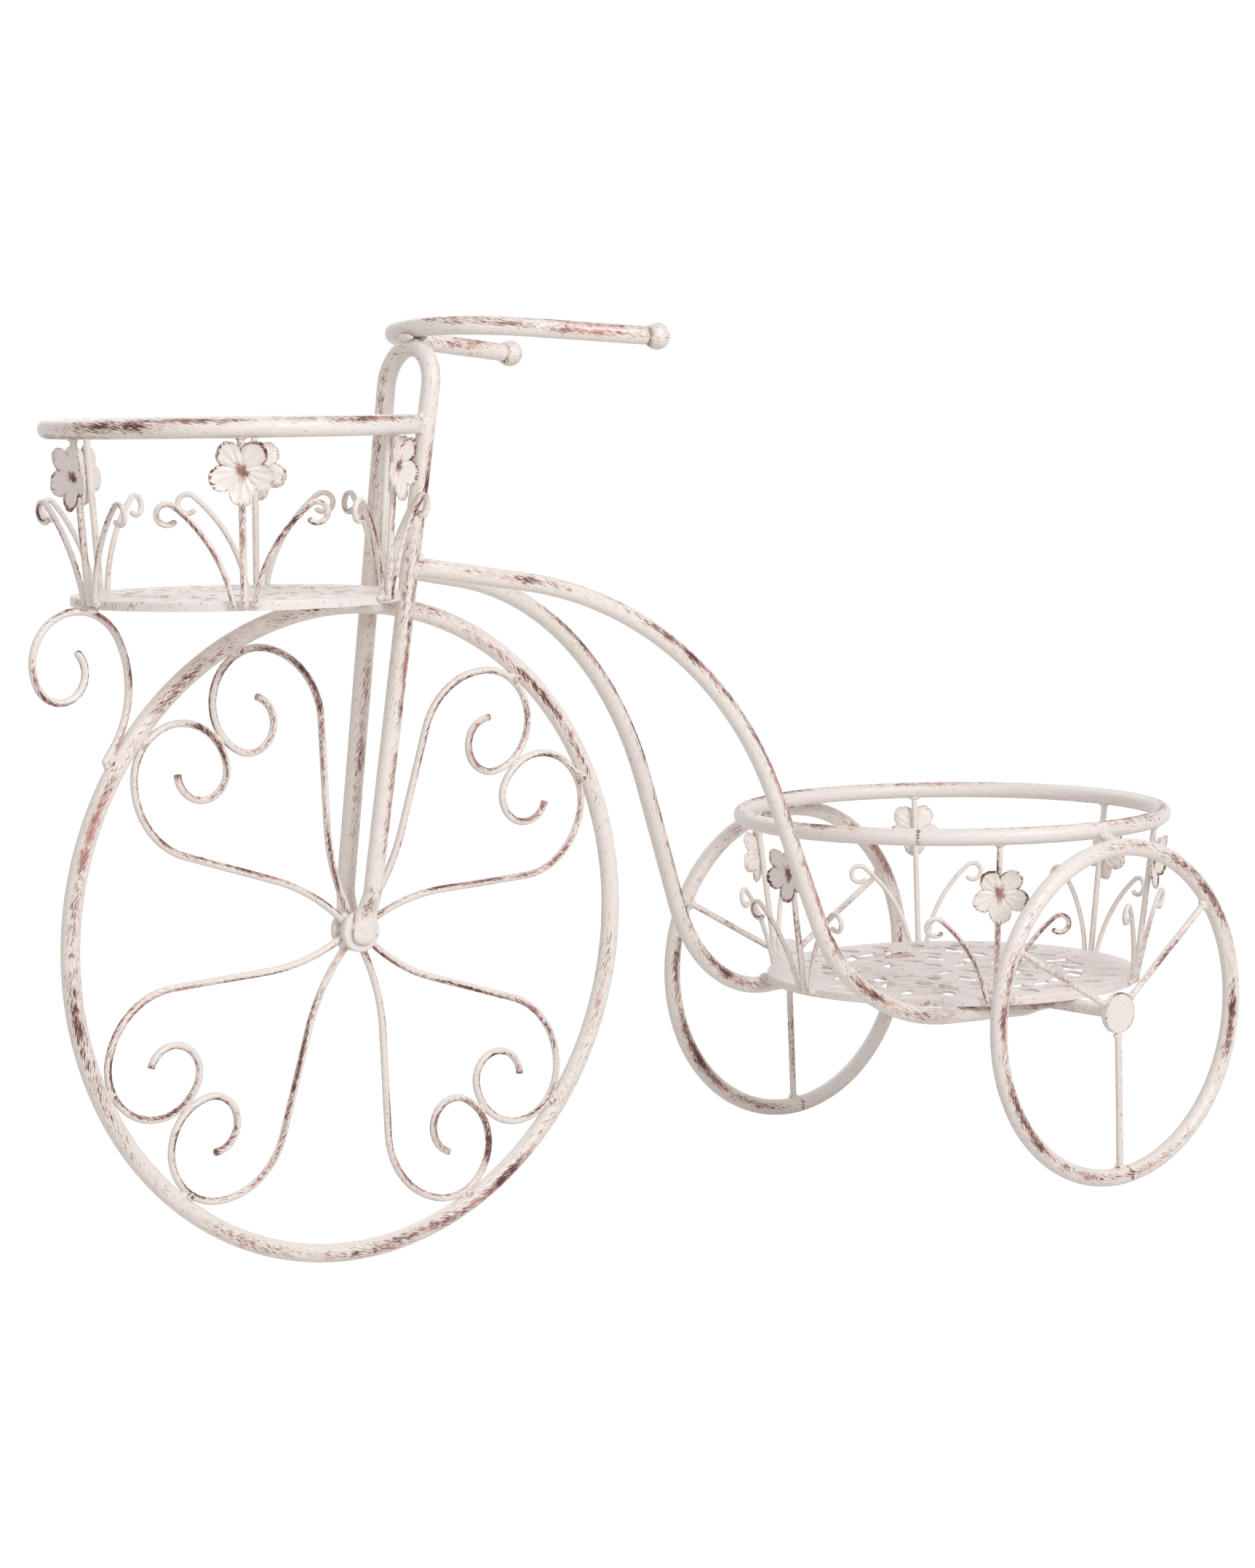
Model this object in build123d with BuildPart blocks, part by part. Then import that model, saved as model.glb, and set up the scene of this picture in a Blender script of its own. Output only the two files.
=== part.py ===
from build123d import *
from math import acos, asin, atan2, cos, degrees, hypot, radians, sin, sqrt, tan
import os

os.makedirs("parts", exist_ok=True)

# Planter in the shape of a three-wheeled cycle, bent and welded from steel
# tube and wire. Front wheel towards -X, rear wheels towards +X, +Z up.
# The origin is on the ground, at the middle of the whole outline.

# Stock
tube_dia = 10.0
scroll_wire_dia = 4.0
spoke_wire_dia = 4.0
stem_wire_dia = 3.6
leaf_wire_dia = 3.0
axle_dia = 8.0
seat_gap = 0.1
overrun = 2.0

# Front wheel, measured to the middle of its tube
front_wheel_radius = 174.0
hub_barrel_dia = 16.0
hub_flange_dia = 23.0
hub_flange_thickness = 4.0
hub_width = 14.0
hub_edge_round = 1.2

# Scrolls in the front wheel, four mirrored pairs
scroll_pairs = 4
scroll_first_bearing = 37.2
scroll_lead_radius = 110.0
scroll_shoulder_radius = 42.5
scroll_coil_radius = 28.0
scroll_curl_radius = 15.0
scroll_lead_heading = 6.0
scroll_coil_heading = -40.0
scroll_coil_turn = 167.0
scroll_curl_turn = 188.0

# Rear wheels
wheelbase = 433.5
rear_wheel_overhang = 17.5
rear_wheel_radius = 96.4
rear_hub_dia = 24.0
rear_hub_thickness = 4.0
near_spoke_bearings = (-89, 38, 151)
far_spoke_bearings = (-88, 31, 152)

# Fork, an upside-down U that leans back over the front wheel
fork_lean = 8.22
fork_foot_gap = 24.2
fork_arch_radius = 20.4
fork_arch_above_ring = 20.3
fork_tab_width = 14.0
fork_tab_thickness = 4.0
fork_tab_length = 8.0
fork_taper_length = 14.0

# Handlebar, a bow that opens towards the rear
bar_bow_radius = 51.3
bar_bow_half_angle = 77.8
bar_grip_length = 70.4
bar_droop = 4.6
bar_tip = 3.0
knob_dia = 14.6

# Frame tubes that carry the rear axle
frame_height = 193.9
frame_axle_spread = 187.0
frame_lead_slope = 9.2
frame_lead_extra = 16.1
frame_shoulder_radius = 198.7
frame_drop_slope = 69.3
frame_foot_radius = 92.5
frame_tab_width = 14.0
frame_tab_thickness = 4.0
frame_tab_length = 8.0
frame_taper_length = 14.0

# Baskets, placed from the front axle
front_basket_ahead = 70.0
front_ring_radius = 94.0
front_plate_radius = 85.0
front_basket_height = 85.4
front_group_bearings = (-4, 50, 112, 180, 240, 299)
front_flower_heights = (64.5, 61.5, 62.0, 62.0, 64.5, 64.5)
rear_basket_behind = 5.8
rear_ring_radius = 127.2
rear_plate_radius = 112.7
rear_basket_height = 95.8
rear_group_bearings = (-3, 57, 118, 177, 239, 298)
rear_flower_heights = (61.0, 71.0, 65.5, 69.5, 62.5, 71.5)

# Pressed floor plates with a turned-down edge
plate_thickness = 1.5
plate_edge_depth = 5.0
plate_edge_wall = 1.5
plate_edge_round = 1.2

# One flower group on a basket
stem_foot_lift = 2.0
flower_radius = 17.0
petal_radius = 6.7
petal_count = 5
flower_thickness = 1.2
flower_dish_depth = 3.6
leaf_foot_offset = 5.0
leaf_blade_radius = 82.0
leaf_blade_heading = 78.0
leaf_blade_turn = 38.0
leaf_curl_radius = 5.2
leaf_curl_turn = 275.0

# Scroll bracket between the front wheel and the front basket
bracket_foot_lap = 2.7
bracket_loop_radius = 26.0
bracket_loop_ahead = 9.6
bracket_leg_radius = 55.0
bracket_curl_radius = 14.4
bracket_loop_turn = 180.0
bracket_curl_turn = 203.0

# Short links that tie the top rings to the fork and to the rear wheels
front_link_dia = 9.0
rear_link_dia = 7.0

# Places that follow from the sizes above
tube_r = tube_dia / 2
scroll_r = scroll_wire_dia / 2
stem_r = stem_wire_dia / 2
leaf_r = leaf_wire_dia / 2
axle_r = axle_dia / 2
front_axle_z = front_wheel_radius + tube_r
rear_axle_z = rear_wheel_radius + tube_r
half_track = rear_ring_radius + rear_wheel_overhang

front_edge_cross = front_plate_radius - front_basket_ahead
front_plate_bottom = (
    front_axle_z
    + sqrt(front_axle_z**2 - front_edge_cross**2)
    + seat_gap
)
front_plate_top = front_plate_bottom + plate_edge_depth
front_ring_z = front_plate_top + front_basket_height
front_ring_height = front_ring_z - front_axle_z
rear_plate_bottom = rear_axle_z + axle_r + seat_gap
rear_plate_top = rear_plate_bottom + plate_edge_depth
rear_ring_z = rear_plate_top + rear_basket_height

bracket_reach = bracket_loop_radius + scroll_r
bracket_loop_from_axle = front_basket_ahead + front_plate_radius + bracket_loop_ahead
front_reach = bracket_loop_from_axle + bracket_reach
rear_reach = wheelbase + rear_basket_behind + rear_ring_radius + tube_r
front_axle_x = (front_reach - rear_reach) / 2
rear_axle_x = front_axle_x + wheelbase
front_basket_x = front_axle_x - front_basket_ahead
rear_basket_x = rear_axle_x + rear_basket_behind

front_hub_point = Vector(front_axle_x, 0, front_axle_z)
wheel_plane = Plane(origin=front_hub_point, x_dir=(1, 0, 0), z_dir=(0, -1, 0))


def heading_vector(angle):
    """Unit vector along a heading, in degrees from the plane's x axis."""
    return Vector(cos(radians(angle)), sin(radians(angle)), 0)


def bent_path(plane, start, heading, bends):
    """Straight runs and tangent arcs in one plane, as one wire.

    Each bend is (straight length, radius, turn). A positive turn is
    anticlockwise in the plane.
    """
    point = Vector(*start)
    with BuildLine() as path:
        for straight, radius, turn in bends:
            if straight:
                ahead = point + heading_vector(heading) * straight
                Line(point, ahead)
                point = ahead
            if turn:
                side = 90 if turn > 0 else -90
                centre = point + heading_vector(heading + side) * radius
                middle = centre - heading_vector(heading + turn / 2 + side) * radius
                heading += turn
                end = centre - heading_vector(heading + side) * radius
                ThreePointArc(point, middle, end)
                point = end
    return plane.from_local_coords(path.wire())


def start_plane(path):
    """Plane square to a path at its start."""
    return Plane(origin=path @ 0, z_dir=path % 0)


# Front wheel: one round hoop
with BuildPart() as front_rim:
    with Locations(wheel_plane):
        Torus(front_wheel_radius, tube_r)
front_rim.part.label = "front_rim"
export_step(front_rim.part, "parts/front_rim.step")

# Hub of the front wheel: a turned spool, drawn as a half section
with BuildPart() as front_hub:
    with BuildSketch(Plane(origin=front_hub_point, x_dir=(1, 0, 0), z_dir=(0, 0, 1))):
        flange_x = hub_flange_dia / 4
        flange_y = (hub_width - hub_flange_thickness) / 2
        with Locations((flange_x, flange_y), (flange_x, -flange_y)):
            Rectangle(hub_flange_dia / 2, hub_flange_thickness)
        with Locations((hub_barrel_dia / 4, 0)):
            Rectangle(hub_barrel_dia / 2, hub_width)
    revolve(axis=Axis(front_hub_point, (0, 1, 0)))
    flange_edges = front_hub.edges().filter_by(GeomType.CIRCLE).sort_by(SortBy.RADIUS)[-4:]
    fillet(flange_edges, hub_edge_round)
front_hub.part.label = "front_hub"
export_step(front_hub.part, "parts/front_hub.step")


def scroll_path(bearing, side):
    """One scroll of a pair, from inside the hub to the tip of its curl.

    The coil touches the rim and the line that divides the pair. The lead
    leaves the hub and meets the shoulder by a straight crossed tangent.
    """
    coil_away = front_wheel_radius - tube_r - scroll_r - seat_gap - scroll_coil_radius
    coil_lift = scroll_coil_radius + scroll_r + seat_gap
    coil = Vector(sqrt(coil_away**2 - coil_lift**2), coil_lift)
    inward = heading_vector(scroll_coil_heading - 90)
    shoulder = coil + inward * (scroll_shoulder_radius - scroll_coil_radius)
    start = Vector(hub_barrel_dia / 4, scroll_r + seat_gap)
    lead = start + heading_vector(scroll_lead_heading + 90) * scroll_lead_radius
    span = shoulder - lead
    radii = scroll_lead_radius + scroll_shoulder_radius
    rise = degrees(atan2(span.Y, span.X) + asin(radii / span.length))
    bends = (
        (0, scroll_lead_radius, rise - scroll_lead_heading),
        (sqrt(span.length**2 - radii**2), scroll_shoulder_radius, scroll_coil_heading - rise),
        (0, scroll_coil_radius, -scroll_coil_turn),
        (0, scroll_curl_radius, -scroll_curl_turn),
    )
    along = (cos(radians(bearing)), 0, sin(radians(bearing)))
    pair_plane = Plane(origin=front_hub_point, x_dir=along, z_dir=(0, -side, 0))
    return bent_path(pair_plane, (start.X, start.Y), scroll_lead_heading, bends)


# Scrolls: each wire is coped to the barrel of the hub
for pair in range(scroll_pairs):
    for number, side in enumerate((1, -1)):
        bearing = scroll_first_bearing + pair * 360 / scroll_pairs
        scroll_wire = scroll_path(bearing, side)
        with BuildPart() as scroll:
            with BuildSketch(start_plane(scroll_wire)):
                Circle(scroll_r)
            sweep(path=scroll_wire)
            with Locations(wheel_plane):
                Cylinder(hub_barrel_dia / 2 + seat_gap / 2, hub_width, mode=Mode.SUBTRACT)
        scroll_name = f"wheel_scroll_{2 * pair + number + 1}"
        scroll.part.label = scroll_name
        export_step(scroll.part, f"parts/{scroll_name}.step")


# Fork: its plane leans back, x across the planter and y up the legs
lean_vector = Vector(sin(radians(fork_lean)), 0, cos(radians(fork_lean)))
fork_plane = Plane(
    origin=front_hub_point,
    x_dir=(0, 1, 0),
    z_dir=Vector(0, 1, 0).cross(lean_vector),
)
fork_foot = fork_foot_gap / 2
fork_arch_height = front_ring_height / cos(radians(fork_lean)) + fork_arch_above_ring
fork_foot_to_arch = hypot(fork_foot, fork_arch_height)
fork_splay = degrees(asin(fork_arch_radius / fork_foot_to_arch) - atan2(fork_foot, fork_arch_height))
fork_leg_length = sqrt(fork_foot_to_arch**2 - fork_arch_radius**2)
fork_round_start = fork_tab_length + fork_taper_length


def fork_leg_point(height, side):
    """Point on a leg's middle line at a height above the front axle."""
    up_leg = height / cos(radians(fork_lean))
    across = side * (fork_foot + up_leg * tan(radians(fork_splay)))
    return fork_plane.from_local_coords(Vector(across, up_leg, 0))


def fork_leg_plane(side):
    """Plane square to a leg at its foot."""
    foot = fork_leg_point(0, side)
    return Plane(origin=foot, z_dir=fork_leg_point(frame_height, side) - foot)


# The legs end in squashed tabs, welded on the outer faces of the hub
fork_start = (
    -fork_foot - fork_round_start * sin(radians(fork_splay)),
    fork_round_start * cos(radians(fork_splay)),
)
fork_run = fork_leg_length - fork_round_start
fork_path = bent_path(
    fork_plane,
    fork_start,
    90 + fork_splay,
    ((fork_run, fork_arch_radius, -180 - 2 * fork_splay), (fork_run, 0, 0)),
)
fork_tab_y = hub_width / 2 + seat_gap / 2 + fork_tab_thickness / 2
with BuildPart() as fork:
    with BuildSketch(start_plane(fork_path)):
        Circle(tube_r)
    sweep(path=fork_path)
    for side in (1, -1):
        tab_middle = front_hub_point + Vector(0, side * fork_tab_y, 0)
        tab_plane = Plane(origin=tab_middle, x_dir=lean_vector, z_dir=(0, 1, 0))
        with BuildSketch(tab_plane):
            Circle(fork_tab_width / 2)
            with Locations((fork_tab_length / 2, 0)):
                Rectangle(fork_tab_length, fork_tab_width)
        extrude(amount=fork_tab_thickness / 2, both=True)
        tab_end = tab_middle + lean_vector * fork_tab_length
        tube_end = fork_path @ (0 if side < 0 else 1)
        with BuildSketch(Plane(origin=tab_end, x_dir=(0, 1, 0), z_dir=lean_vector)):
            Rectangle(fork_tab_thickness, fork_tab_width)
        with BuildSketch(Plane(origin=tube_end, x_dir=(0, 1, 0), z_dir=fork_leg_plane(side).z_dir)):
            Circle(tube_r)
        loft()
fork.part.label = "fork"
export_step(fork.part, "parts/fork.step")

# Handlebar: it lies on the arch of the fork, tipped a little to the far side
arch_top = fork_plane.from_local_coords(Vector(0, fork_arch_height + fork_arch_radius, 0))
bar_apex = arch_top + Vector(0, 0, tube_dia + seat_gap)
bar_plane = Plane(origin=bar_apex, x_dir=(1, 0, 0), z_dir=(0, 0, 1)).rotated((-bar_tip, bar_droop, 0))
bow_end_x = bar_bow_radius * (1 - cos(radians(bar_bow_half_angle)))
bow_end_y = bar_bow_radius * sin(radians(bar_bow_half_angle))
grip_heading = 90 - bar_bow_half_angle
grip_end = Vector(bow_end_x, bow_end_y) + heading_vector(grip_heading) * bar_grip_length
bar_path = bent_path(
    bar_plane,
    (grip_end.X, grip_end.Y),
    180 + grip_heading,
    (
        (bar_grip_length, bar_bow_radius, 2 * bar_bow_half_angle),
        (bar_grip_length, 0, 0),
    ),
)
with BuildPart() as handlebar:
    with BuildSketch(start_plane(bar_path)):
        Circle(tube_r)
    sweep(path=bar_path)
handlebar.part.label = "handlebar"
export_step(handlebar.part, "parts/handlebar.step")

# Knobs: balls that close the ends of the handlebar, cut flat where they sit
knob_seat = sqrt((knob_dia / 2) ** 2 - tube_r**2)
for knob_name, end, outward in (
    ("handlebar_knob_far", bar_path @ 0, bar_path % 0 * -1),
    ("handlebar_knob_near", bar_path @ 1, bar_path % 1),
):
    seat_plane = Plane(origin=end + outward * (seat_gap / 2), z_dir=outward)
    with BuildPart() as knob:
        with Locations(seat_plane.offset(knob_seat)):
            Sphere(knob_dia / 2)
        split(bisect_by=seat_plane, keep=Keep.TOP)
    knob.part.label = knob_name
    export_step(knob.part, f"parts/{knob_name}.step")

# Frame tubes: a lead behind the fork, a shoulder, a steep drop and a flat run
frame_start_near = fork_leg_point(frame_height, -1)
frame_run_z = rear_plate_bottom - tube_r - seat_gap
frame_dx = rear_axle_x - frame_start_near.X
frame_dy = frame_axle_spread / 2 + frame_start_near.Y
frame_length = hypot(frame_dx, frame_dy)
lead_angle = radians(frame_lead_slope)
drop_angle = radians(frame_drop_slope)
frame_flat_end = frame_tab_length + frame_taper_length

# The lead and the flat run share what the bends and the drop leave between
# the fork and the axle
frame_bend_fall = (
    frame_shoulder_radius * (cos(lead_angle) - cos(drop_angle))
    + frame_foot_radius * (1 - cos(drop_angle))
)
frame_bend_run = (
    frame_shoulder_radius * (sin(drop_angle) - sin(lead_angle))
    + frame_foot_radius * sin(drop_angle)
)
frame_straight_fall = front_axle_z + frame_height - frame_run_z - frame_bend_fall
frame_straight_run = frame_length - frame_flat_end - frame_bend_run
frame_run_left = frame_straight_run - frame_straight_fall / tan(drop_angle)
frame_lead_reach = cos(lead_angle) - sin(lead_angle) / tan(drop_angle)
frame_lead_length = (frame_run_left + frame_lead_extra) / (1 + frame_lead_reach)
frame_flat_run = frame_lead_length - frame_lead_extra
frame_drop_length = (frame_straight_fall - frame_lead_length * sin(lead_angle)) / sin(drop_angle)
for frame_name, side in (("frame_tube_near", -1), ("frame_tube_far", 1)):
    frame_along = Vector(frame_dx, side * frame_dy, 0).normalized()
    frame_origin = fork_leg_point(frame_height, side)
    frame_plane = Plane(origin=frame_origin, x_dir=frame_along, z_dir=frame_along.cross(Vector(0, 0, 1)))
    frame_path = bent_path(
        frame_plane,
        (0, 0),
        -frame_lead_slope,
        (
            (frame_lead_length, frame_shoulder_radius, frame_lead_slope - frame_drop_slope),
            (frame_drop_length, frame_foot_radius, frame_drop_slope),
            (frame_flat_run, 0, 0),
        ),
    )
    tab_start = frame_path @ 1 + frame_along * frame_taper_length
    with BuildPart() as frame_tube:
        with BuildSketch(start_plane(frame_path)):
            Circle(tube_r)
        sweep(path=frame_path)
        with BuildSketch(Plane(origin=frame_path @ 1, x_dir=(0, 0, 1), z_dir=frame_along)):
            Circle(tube_r)
        tab_section = Plane(origin=tab_start, x_dir=(0, 0, 1), z_dir=frame_along)
        with BuildSketch(tab_section):
            Rectangle(frame_tab_thickness, frame_tab_width)
        loft()
        with BuildSketch(tab_section):
            Rectangle(frame_tab_thickness, frame_tab_width)
        extrude(amount=frame_tab_length)
        with BuildSketch(fork_leg_plane(side)):
            Circle(tube_r + seat_gap)
        extrude(amount=fork_leg_length, mode=Mode.SUBTRACT)
        with BuildSketch(Plane.XZ.offset(-half_track)):
            with Locations((rear_axle_x, rear_axle_z)):
                Circle(axle_r + seat_gap)
                with Locations((frame_tab_width, 0)):
                    Rectangle(2 * frame_tab_width, tube_dia)
        extrude(amount=2 * half_track, mode=Mode.SUBTRACT)
    frame_tube.part.label = frame_name
    export_step(frame_tube.part, f"parts/{frame_name}.step")

# Rear axle: a rod between the two hub discs
axle_length = 2 * (half_track - seat_gap) - rear_hub_thickness
with BuildPart() as rear_axle:
    with BuildSketch(Plane.XZ.offset(-axle_length / 2)):
        with Locations((rear_axle_x, rear_axle_z)):
            Circle(axle_r)
    extrude(amount=axle_length)
rear_axle.part.label = "rear_axle"
export_step(rear_axle.part, "parts/rear_axle.step")

# Rear wheels: a hoop, a hub disc and three spokes each
for wheel_side, side, spoke_bearings in (
    ("near", -1, near_spoke_bearings),
    ("far", 1, far_spoke_bearings),
):
    rear_hub_point = Vector(rear_axle_x, side * half_track, rear_axle_z)
    rear_plane = Plane(origin=rear_hub_point, x_dir=(1, 0, 0), z_dir=(0, -1, 0))

    with BuildPart() as rear_rim:
        with Locations(rear_plane):
            Torus(rear_wheel_radius, tube_r)
    rear_rim.part.label = f"rear_rim_{wheel_side}"
    export_step(rear_rim.part, f"parts/rear_rim_{wheel_side}.step")

    with BuildPart() as rear_hub:
        with BuildSketch(rear_plane):
            Circle(rear_hub_dia / 2)
        extrude(amount=rear_hub_thickness / 2, both=True)
        fillet(rear_hub.edges().filter_by(GeomType.CIRCLE), rear_hub_thickness / 5)
    rear_hub.part.label = f"rear_hub_{wheel_side}"
    export_step(rear_hub.part, f"parts/rear_hub_{wheel_side}.step")

    with BuildPart() as spokes:
        for bearing in spoke_bearings:
            outward = Vector(cos(radians(bearing)), 0, sin(radians(bearing)))
            spoke_foot = rear_hub_point + outward * (rear_hub_dia / 2 + seat_gap / 2)
            with BuildSketch(Plane(origin=spoke_foot, z_dir=outward)):
                Circle(spoke_wire_dia / 2)
            extrude(amount=rear_wheel_radius - rear_hub_dia / 2)
        with Locations(rear_plane):
            Torus(rear_wheel_radius, tube_r + seat_gap, mode=Mode.SUBTRACT)
    spokes.part.label = f"rear_spokes_{wheel_side}"
    export_step(spokes.part, f"parts/rear_spokes_{wheel_side}.step")

# Unit outlines of the holes in the plates, in shares of a hole's own length
star_waist_share = 0.4
petal_hole_width_share = 0.46

# Rows of holes: radius share, count, turn of the row, turn of the hole, length share
star_rows_shares = ((0.359, 6, 0.0, 15.0, 0.113), (0.651, 12, 15.0, 28.0, 0.13))
petal_rows_shares = (
    (0.15, 6, 30.0, -3.0, 0.16),
    (0.338, 6, 30.0, 22.0, 0.19),
    (0.527, 12, 0.0, 41.0, 0.19),
    (0.475, 12, 15.0, -35.0, 0.115),
    (0.676, 12, 0.0, -61.0, 0.19),
    (0.835, 24, 0.0, 10.0, 0.17),
)


def star_hole(size, turn):
    """Four-pointed star."""
    with BuildSketch(mode=Mode.PRIVATE) as star:
        with BuildLine():
            corners = []
            for step in range(8):
                reach = size if step % 2 == 0 else size * star_waist_share
                corners.append(heading_vector(turn + step * 45) * reach)
            Polyline(*corners, close=True)
        make_face()
    return star.sketch


def petal_hole(length, turn):
    """Pointed leaf between two arcs."""
    with BuildSketch(mode=Mode.PRIVATE) as petal:
        tip = heading_vector(turn) * (length / 2)
        belly = heading_vector(turn + 90) * (length * petal_hole_width_share / 2)
        with BuildLine():
            ThreePointArc(tip, belly, tip * -1)
            ThreePointArc(tip * -1, belly * -1, tip)
        make_face()
    return petal.sketch


def pierced_plate(radius):
    """Disc with a turned-down edge and rows of stamped holes, top at z = 0."""
    with BuildPart(mode=Mode.PRIVATE) as plate:
        with BuildSketch():
            Circle(radius)
        extrude(amount=-plate_edge_depth)
        fillet(plate.edges().group_by(Axis.Z)[-1], plate_edge_round)
        with BuildSketch(Plane.XY.offset(-plate_thickness)):
            Circle(radius - plate_edge_wall)
        extrude(amount=-plate_edge_depth, mode=Mode.SUBTRACT)
        with BuildSketch(Plane.XY.offset(overrun)):
            for rows, hole in ((star_rows_shares, star_hole), (petal_rows_shares, petal_hole)):
                for away, count, row_turn, hole_turn, length in rows:
                    with PolarLocations(radius * away, count, start_angle=row_turn):
                        add(hole(radius * length, hole_turn))
        extrude(amount=-plate_thickness - 2 * overrun, mode=Mode.SUBTRACT)
    return plate.part


def basket_stand(basket_x, bearing, plate_size, ring_size, wire_r):
    """Plane of one flower group: origin at its foot, x along the edge, y up the stem."""
    plate_radius, plate_bottom = plate_size
    ring_radius, ring_z = ring_size
    outward = heading_vector(bearing)
    sideways = heading_vector(bearing + 90)
    middle = Vector(basket_x, 0, 0)
    foot = middle + outward * (plate_radius + wire_r + seat_gap) + Vector(0, 0, plate_bottom)
    top = middle + outward * ring_radius + Vector(0, 0, ring_z)
    return Plane(origin=foot, x_dir=sideways, z_dir=sideways.cross(top - foot))


def make_ring(name, basket_x, ring_radius, ring_z):
    """Top ring of a basket."""
    with BuildPart() as top_ring:
        with Locations((basket_x, 0, ring_z)):
            Torus(ring_radius, tube_r)
    top_ring.part.label = f"{name}_top_ring"
    export_step(top_ring.part, f"parts/{name}_top_ring.step")


def make_plate(name, basket_x, plate_radius, plate_top):
    """Floor plate of a basket."""
    plate_solid = pierced_plate(plate_radius)
    with BuildPart() as plate:
        with Locations((basket_x, 0, plate_top)):
            add(plate_solid)
    plate.part.label = f"{name}_plate"
    export_step(plate.part, f"parts/{name}_plate.step")


def make_stem(name, stem_plane, basket_x, ring_radius, ring_z):
    """Stem from beside the plate up to the underside of the ring."""
    slant = stem_plane.y_dir.Z
    stem_foot = stem_plane.origin + stem_plane.y_dir * (stem_foot_lift / slant)
    with BuildPart() as stem:
        with BuildSketch(Plane(origin=stem_foot, z_dir=stem_plane.y_dir)):
            Circle(stem_r)
        extrude(amount=(ring_z - stem_plane.origin.Z - stem_foot_lift) / slant)
        with Locations((basket_x, 0, ring_z)):
            Torus(ring_radius, tube_r + seat_gap, mode=Mode.SUBTRACT)
    stem.part.label = name
    export_step(stem.part, f"parts/{name}.step")


def make_flower(name, stem_plane, flower_height):
    """Five petals stamped from sheet, dished outwards, one petal pointing down."""
    up_stem = (plate_edge_depth + flower_height) / stem_plane.y_dir.Z
    outward = stem_plane.z_dir
    flower_back = stem_plane.origin + stem_plane.y_dir * up_stem + outward * (stem_r + seat_gap)
    dish_radius = (flower_radius**2 + flower_dish_depth**2) / (2 * flower_dish_depth)
    dish_middle = flower_back + outward * dish_radius
    with BuildPart() as flower:
        with Locations(Plane(origin=dish_middle, x_dir=stem_plane.x_dir, z_dir=outward)):
            Sphere(dish_radius)
            Sphere(dish_radius - flower_thickness, mode=Mode.SUBTRACT)
        with BuildSketch(Plane(origin=flower_back, x_dir=stem_plane.y_dir * -1, z_dir=outward)):
            with PolarLocations(flower_radius - petal_radius, petal_count):
                Circle(petal_radius)
            Circle(flower_radius - petal_radius)
        extrude(amount=flower_dish_depth + overrun, mode=Mode.INTERSECT)
    flower.part.label = name
    export_step(flower.part, f"parts/{name}.step")


def leaf_path(leaf_plane, side):
    """One leaf beside a stem: up from the plate, outwards, and curled at its tip."""
    side_plane = Plane(
        origin=leaf_plane.origin,
        x_dir=leaf_plane.x_dir * side,
        z_dir=leaf_plane.z_dir * side,
    )
    bends = (
        (plate_edge_depth, leaf_blade_radius, -leaf_blade_turn),
        (0, leaf_curl_radius, -leaf_curl_turn),
    )
    return bent_path(side_plane, (leaf_foot_offset, stem_foot_lift), leaf_blade_heading, bends)


def make_leaves(name, leaf_planes):
    """All the leaves of a basket, two beside each stem."""
    with BuildPart() as leaves:
        for leaf_plane in leaf_planes:
            for side in (1, -1):
                leaf_wire = leaf_path(leaf_plane, side)
                with BuildSketch(start_plane(leaf_wire)):
                    Circle(leaf_r)
                sweep(path=leaf_wire)
    leaves.part.label = f"{name}_leaves"
    export_step(leaves.part, f"parts/{name}_leaves.step")


def make_basket(name, basket_x, plate_size, ring_size, bearings, flower_heights):
    """Top ring, floor plate and the flower groups between them.

    Both sizes are (radius, height), of the plate's underside and of the
    ring's middle.
    """
    plate_radius, plate_bottom = plate_size
    make_ring(name, basket_x, *ring_size)
    make_plate(name, basket_x, plate_radius, plate_bottom + plate_edge_depth)
    for number, (bearing, flower_height) in enumerate(zip(bearings, flower_heights)):
        stem_plane = basket_stand(basket_x, bearing, plate_size, ring_size, stem_r)
        make_stem(f"{name}_stem_{number + 1}", stem_plane, basket_x, *ring_size)
        make_flower(f"{name}_flower_{number + 1}", stem_plane, flower_height)
    leaf_planes = [
        basket_stand(basket_x, bearing, plate_size, ring_size, leaf_r) for bearing in bearings
    ]
    make_leaves(name, leaf_planes)


make_basket(
    "front_basket",
    front_basket_x,
    (front_plate_radius, front_plate_bottom),
    (front_ring_radius, front_ring_z),
    front_group_bearings,
    front_flower_heights,
)
make_basket(
    "rear_basket",
    rear_basket_x,
    (rear_plate_radius, rear_plate_bottom),
    (rear_ring_radius, rear_ring_z),
    rear_group_bearings,
    rear_flower_heights,
)

# Scroll bracket: its foot laps the front rim, its loop touches the plate's edge
loop_drop = sqrt((bracket_reach + seat_gap) ** 2 - bracket_loop_ahead**2)
loop_centre = Vector(-bracket_loop_from_axle, front_plate_bottom - front_axle_z - loop_drop)
foot_away = front_axle_z + scroll_r + seat_gap
leg_away = foot_away + bracket_leg_radius
leg_to_loop = bracket_leg_radius - bracket_loop_radius
leg_cosine = (loop_centre.length**2 + leg_away**2 - leg_to_loop**2) / (2 * loop_centre.length * leg_away)
loop_bearing = degrees(atan2(loop_centre.Y, loop_centre.X))
leg_bearing = loop_bearing + degrees(acos(leg_cosine))
leg_centre = heading_vector(leg_bearing) * leg_away
loop_heading = degrees(atan2(loop_centre.Y - leg_centre.Y, loop_centre.X - leg_centre.X)) + 90
foot_point = heading_vector(leg_bearing + bracket_foot_lap) * foot_away
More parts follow.
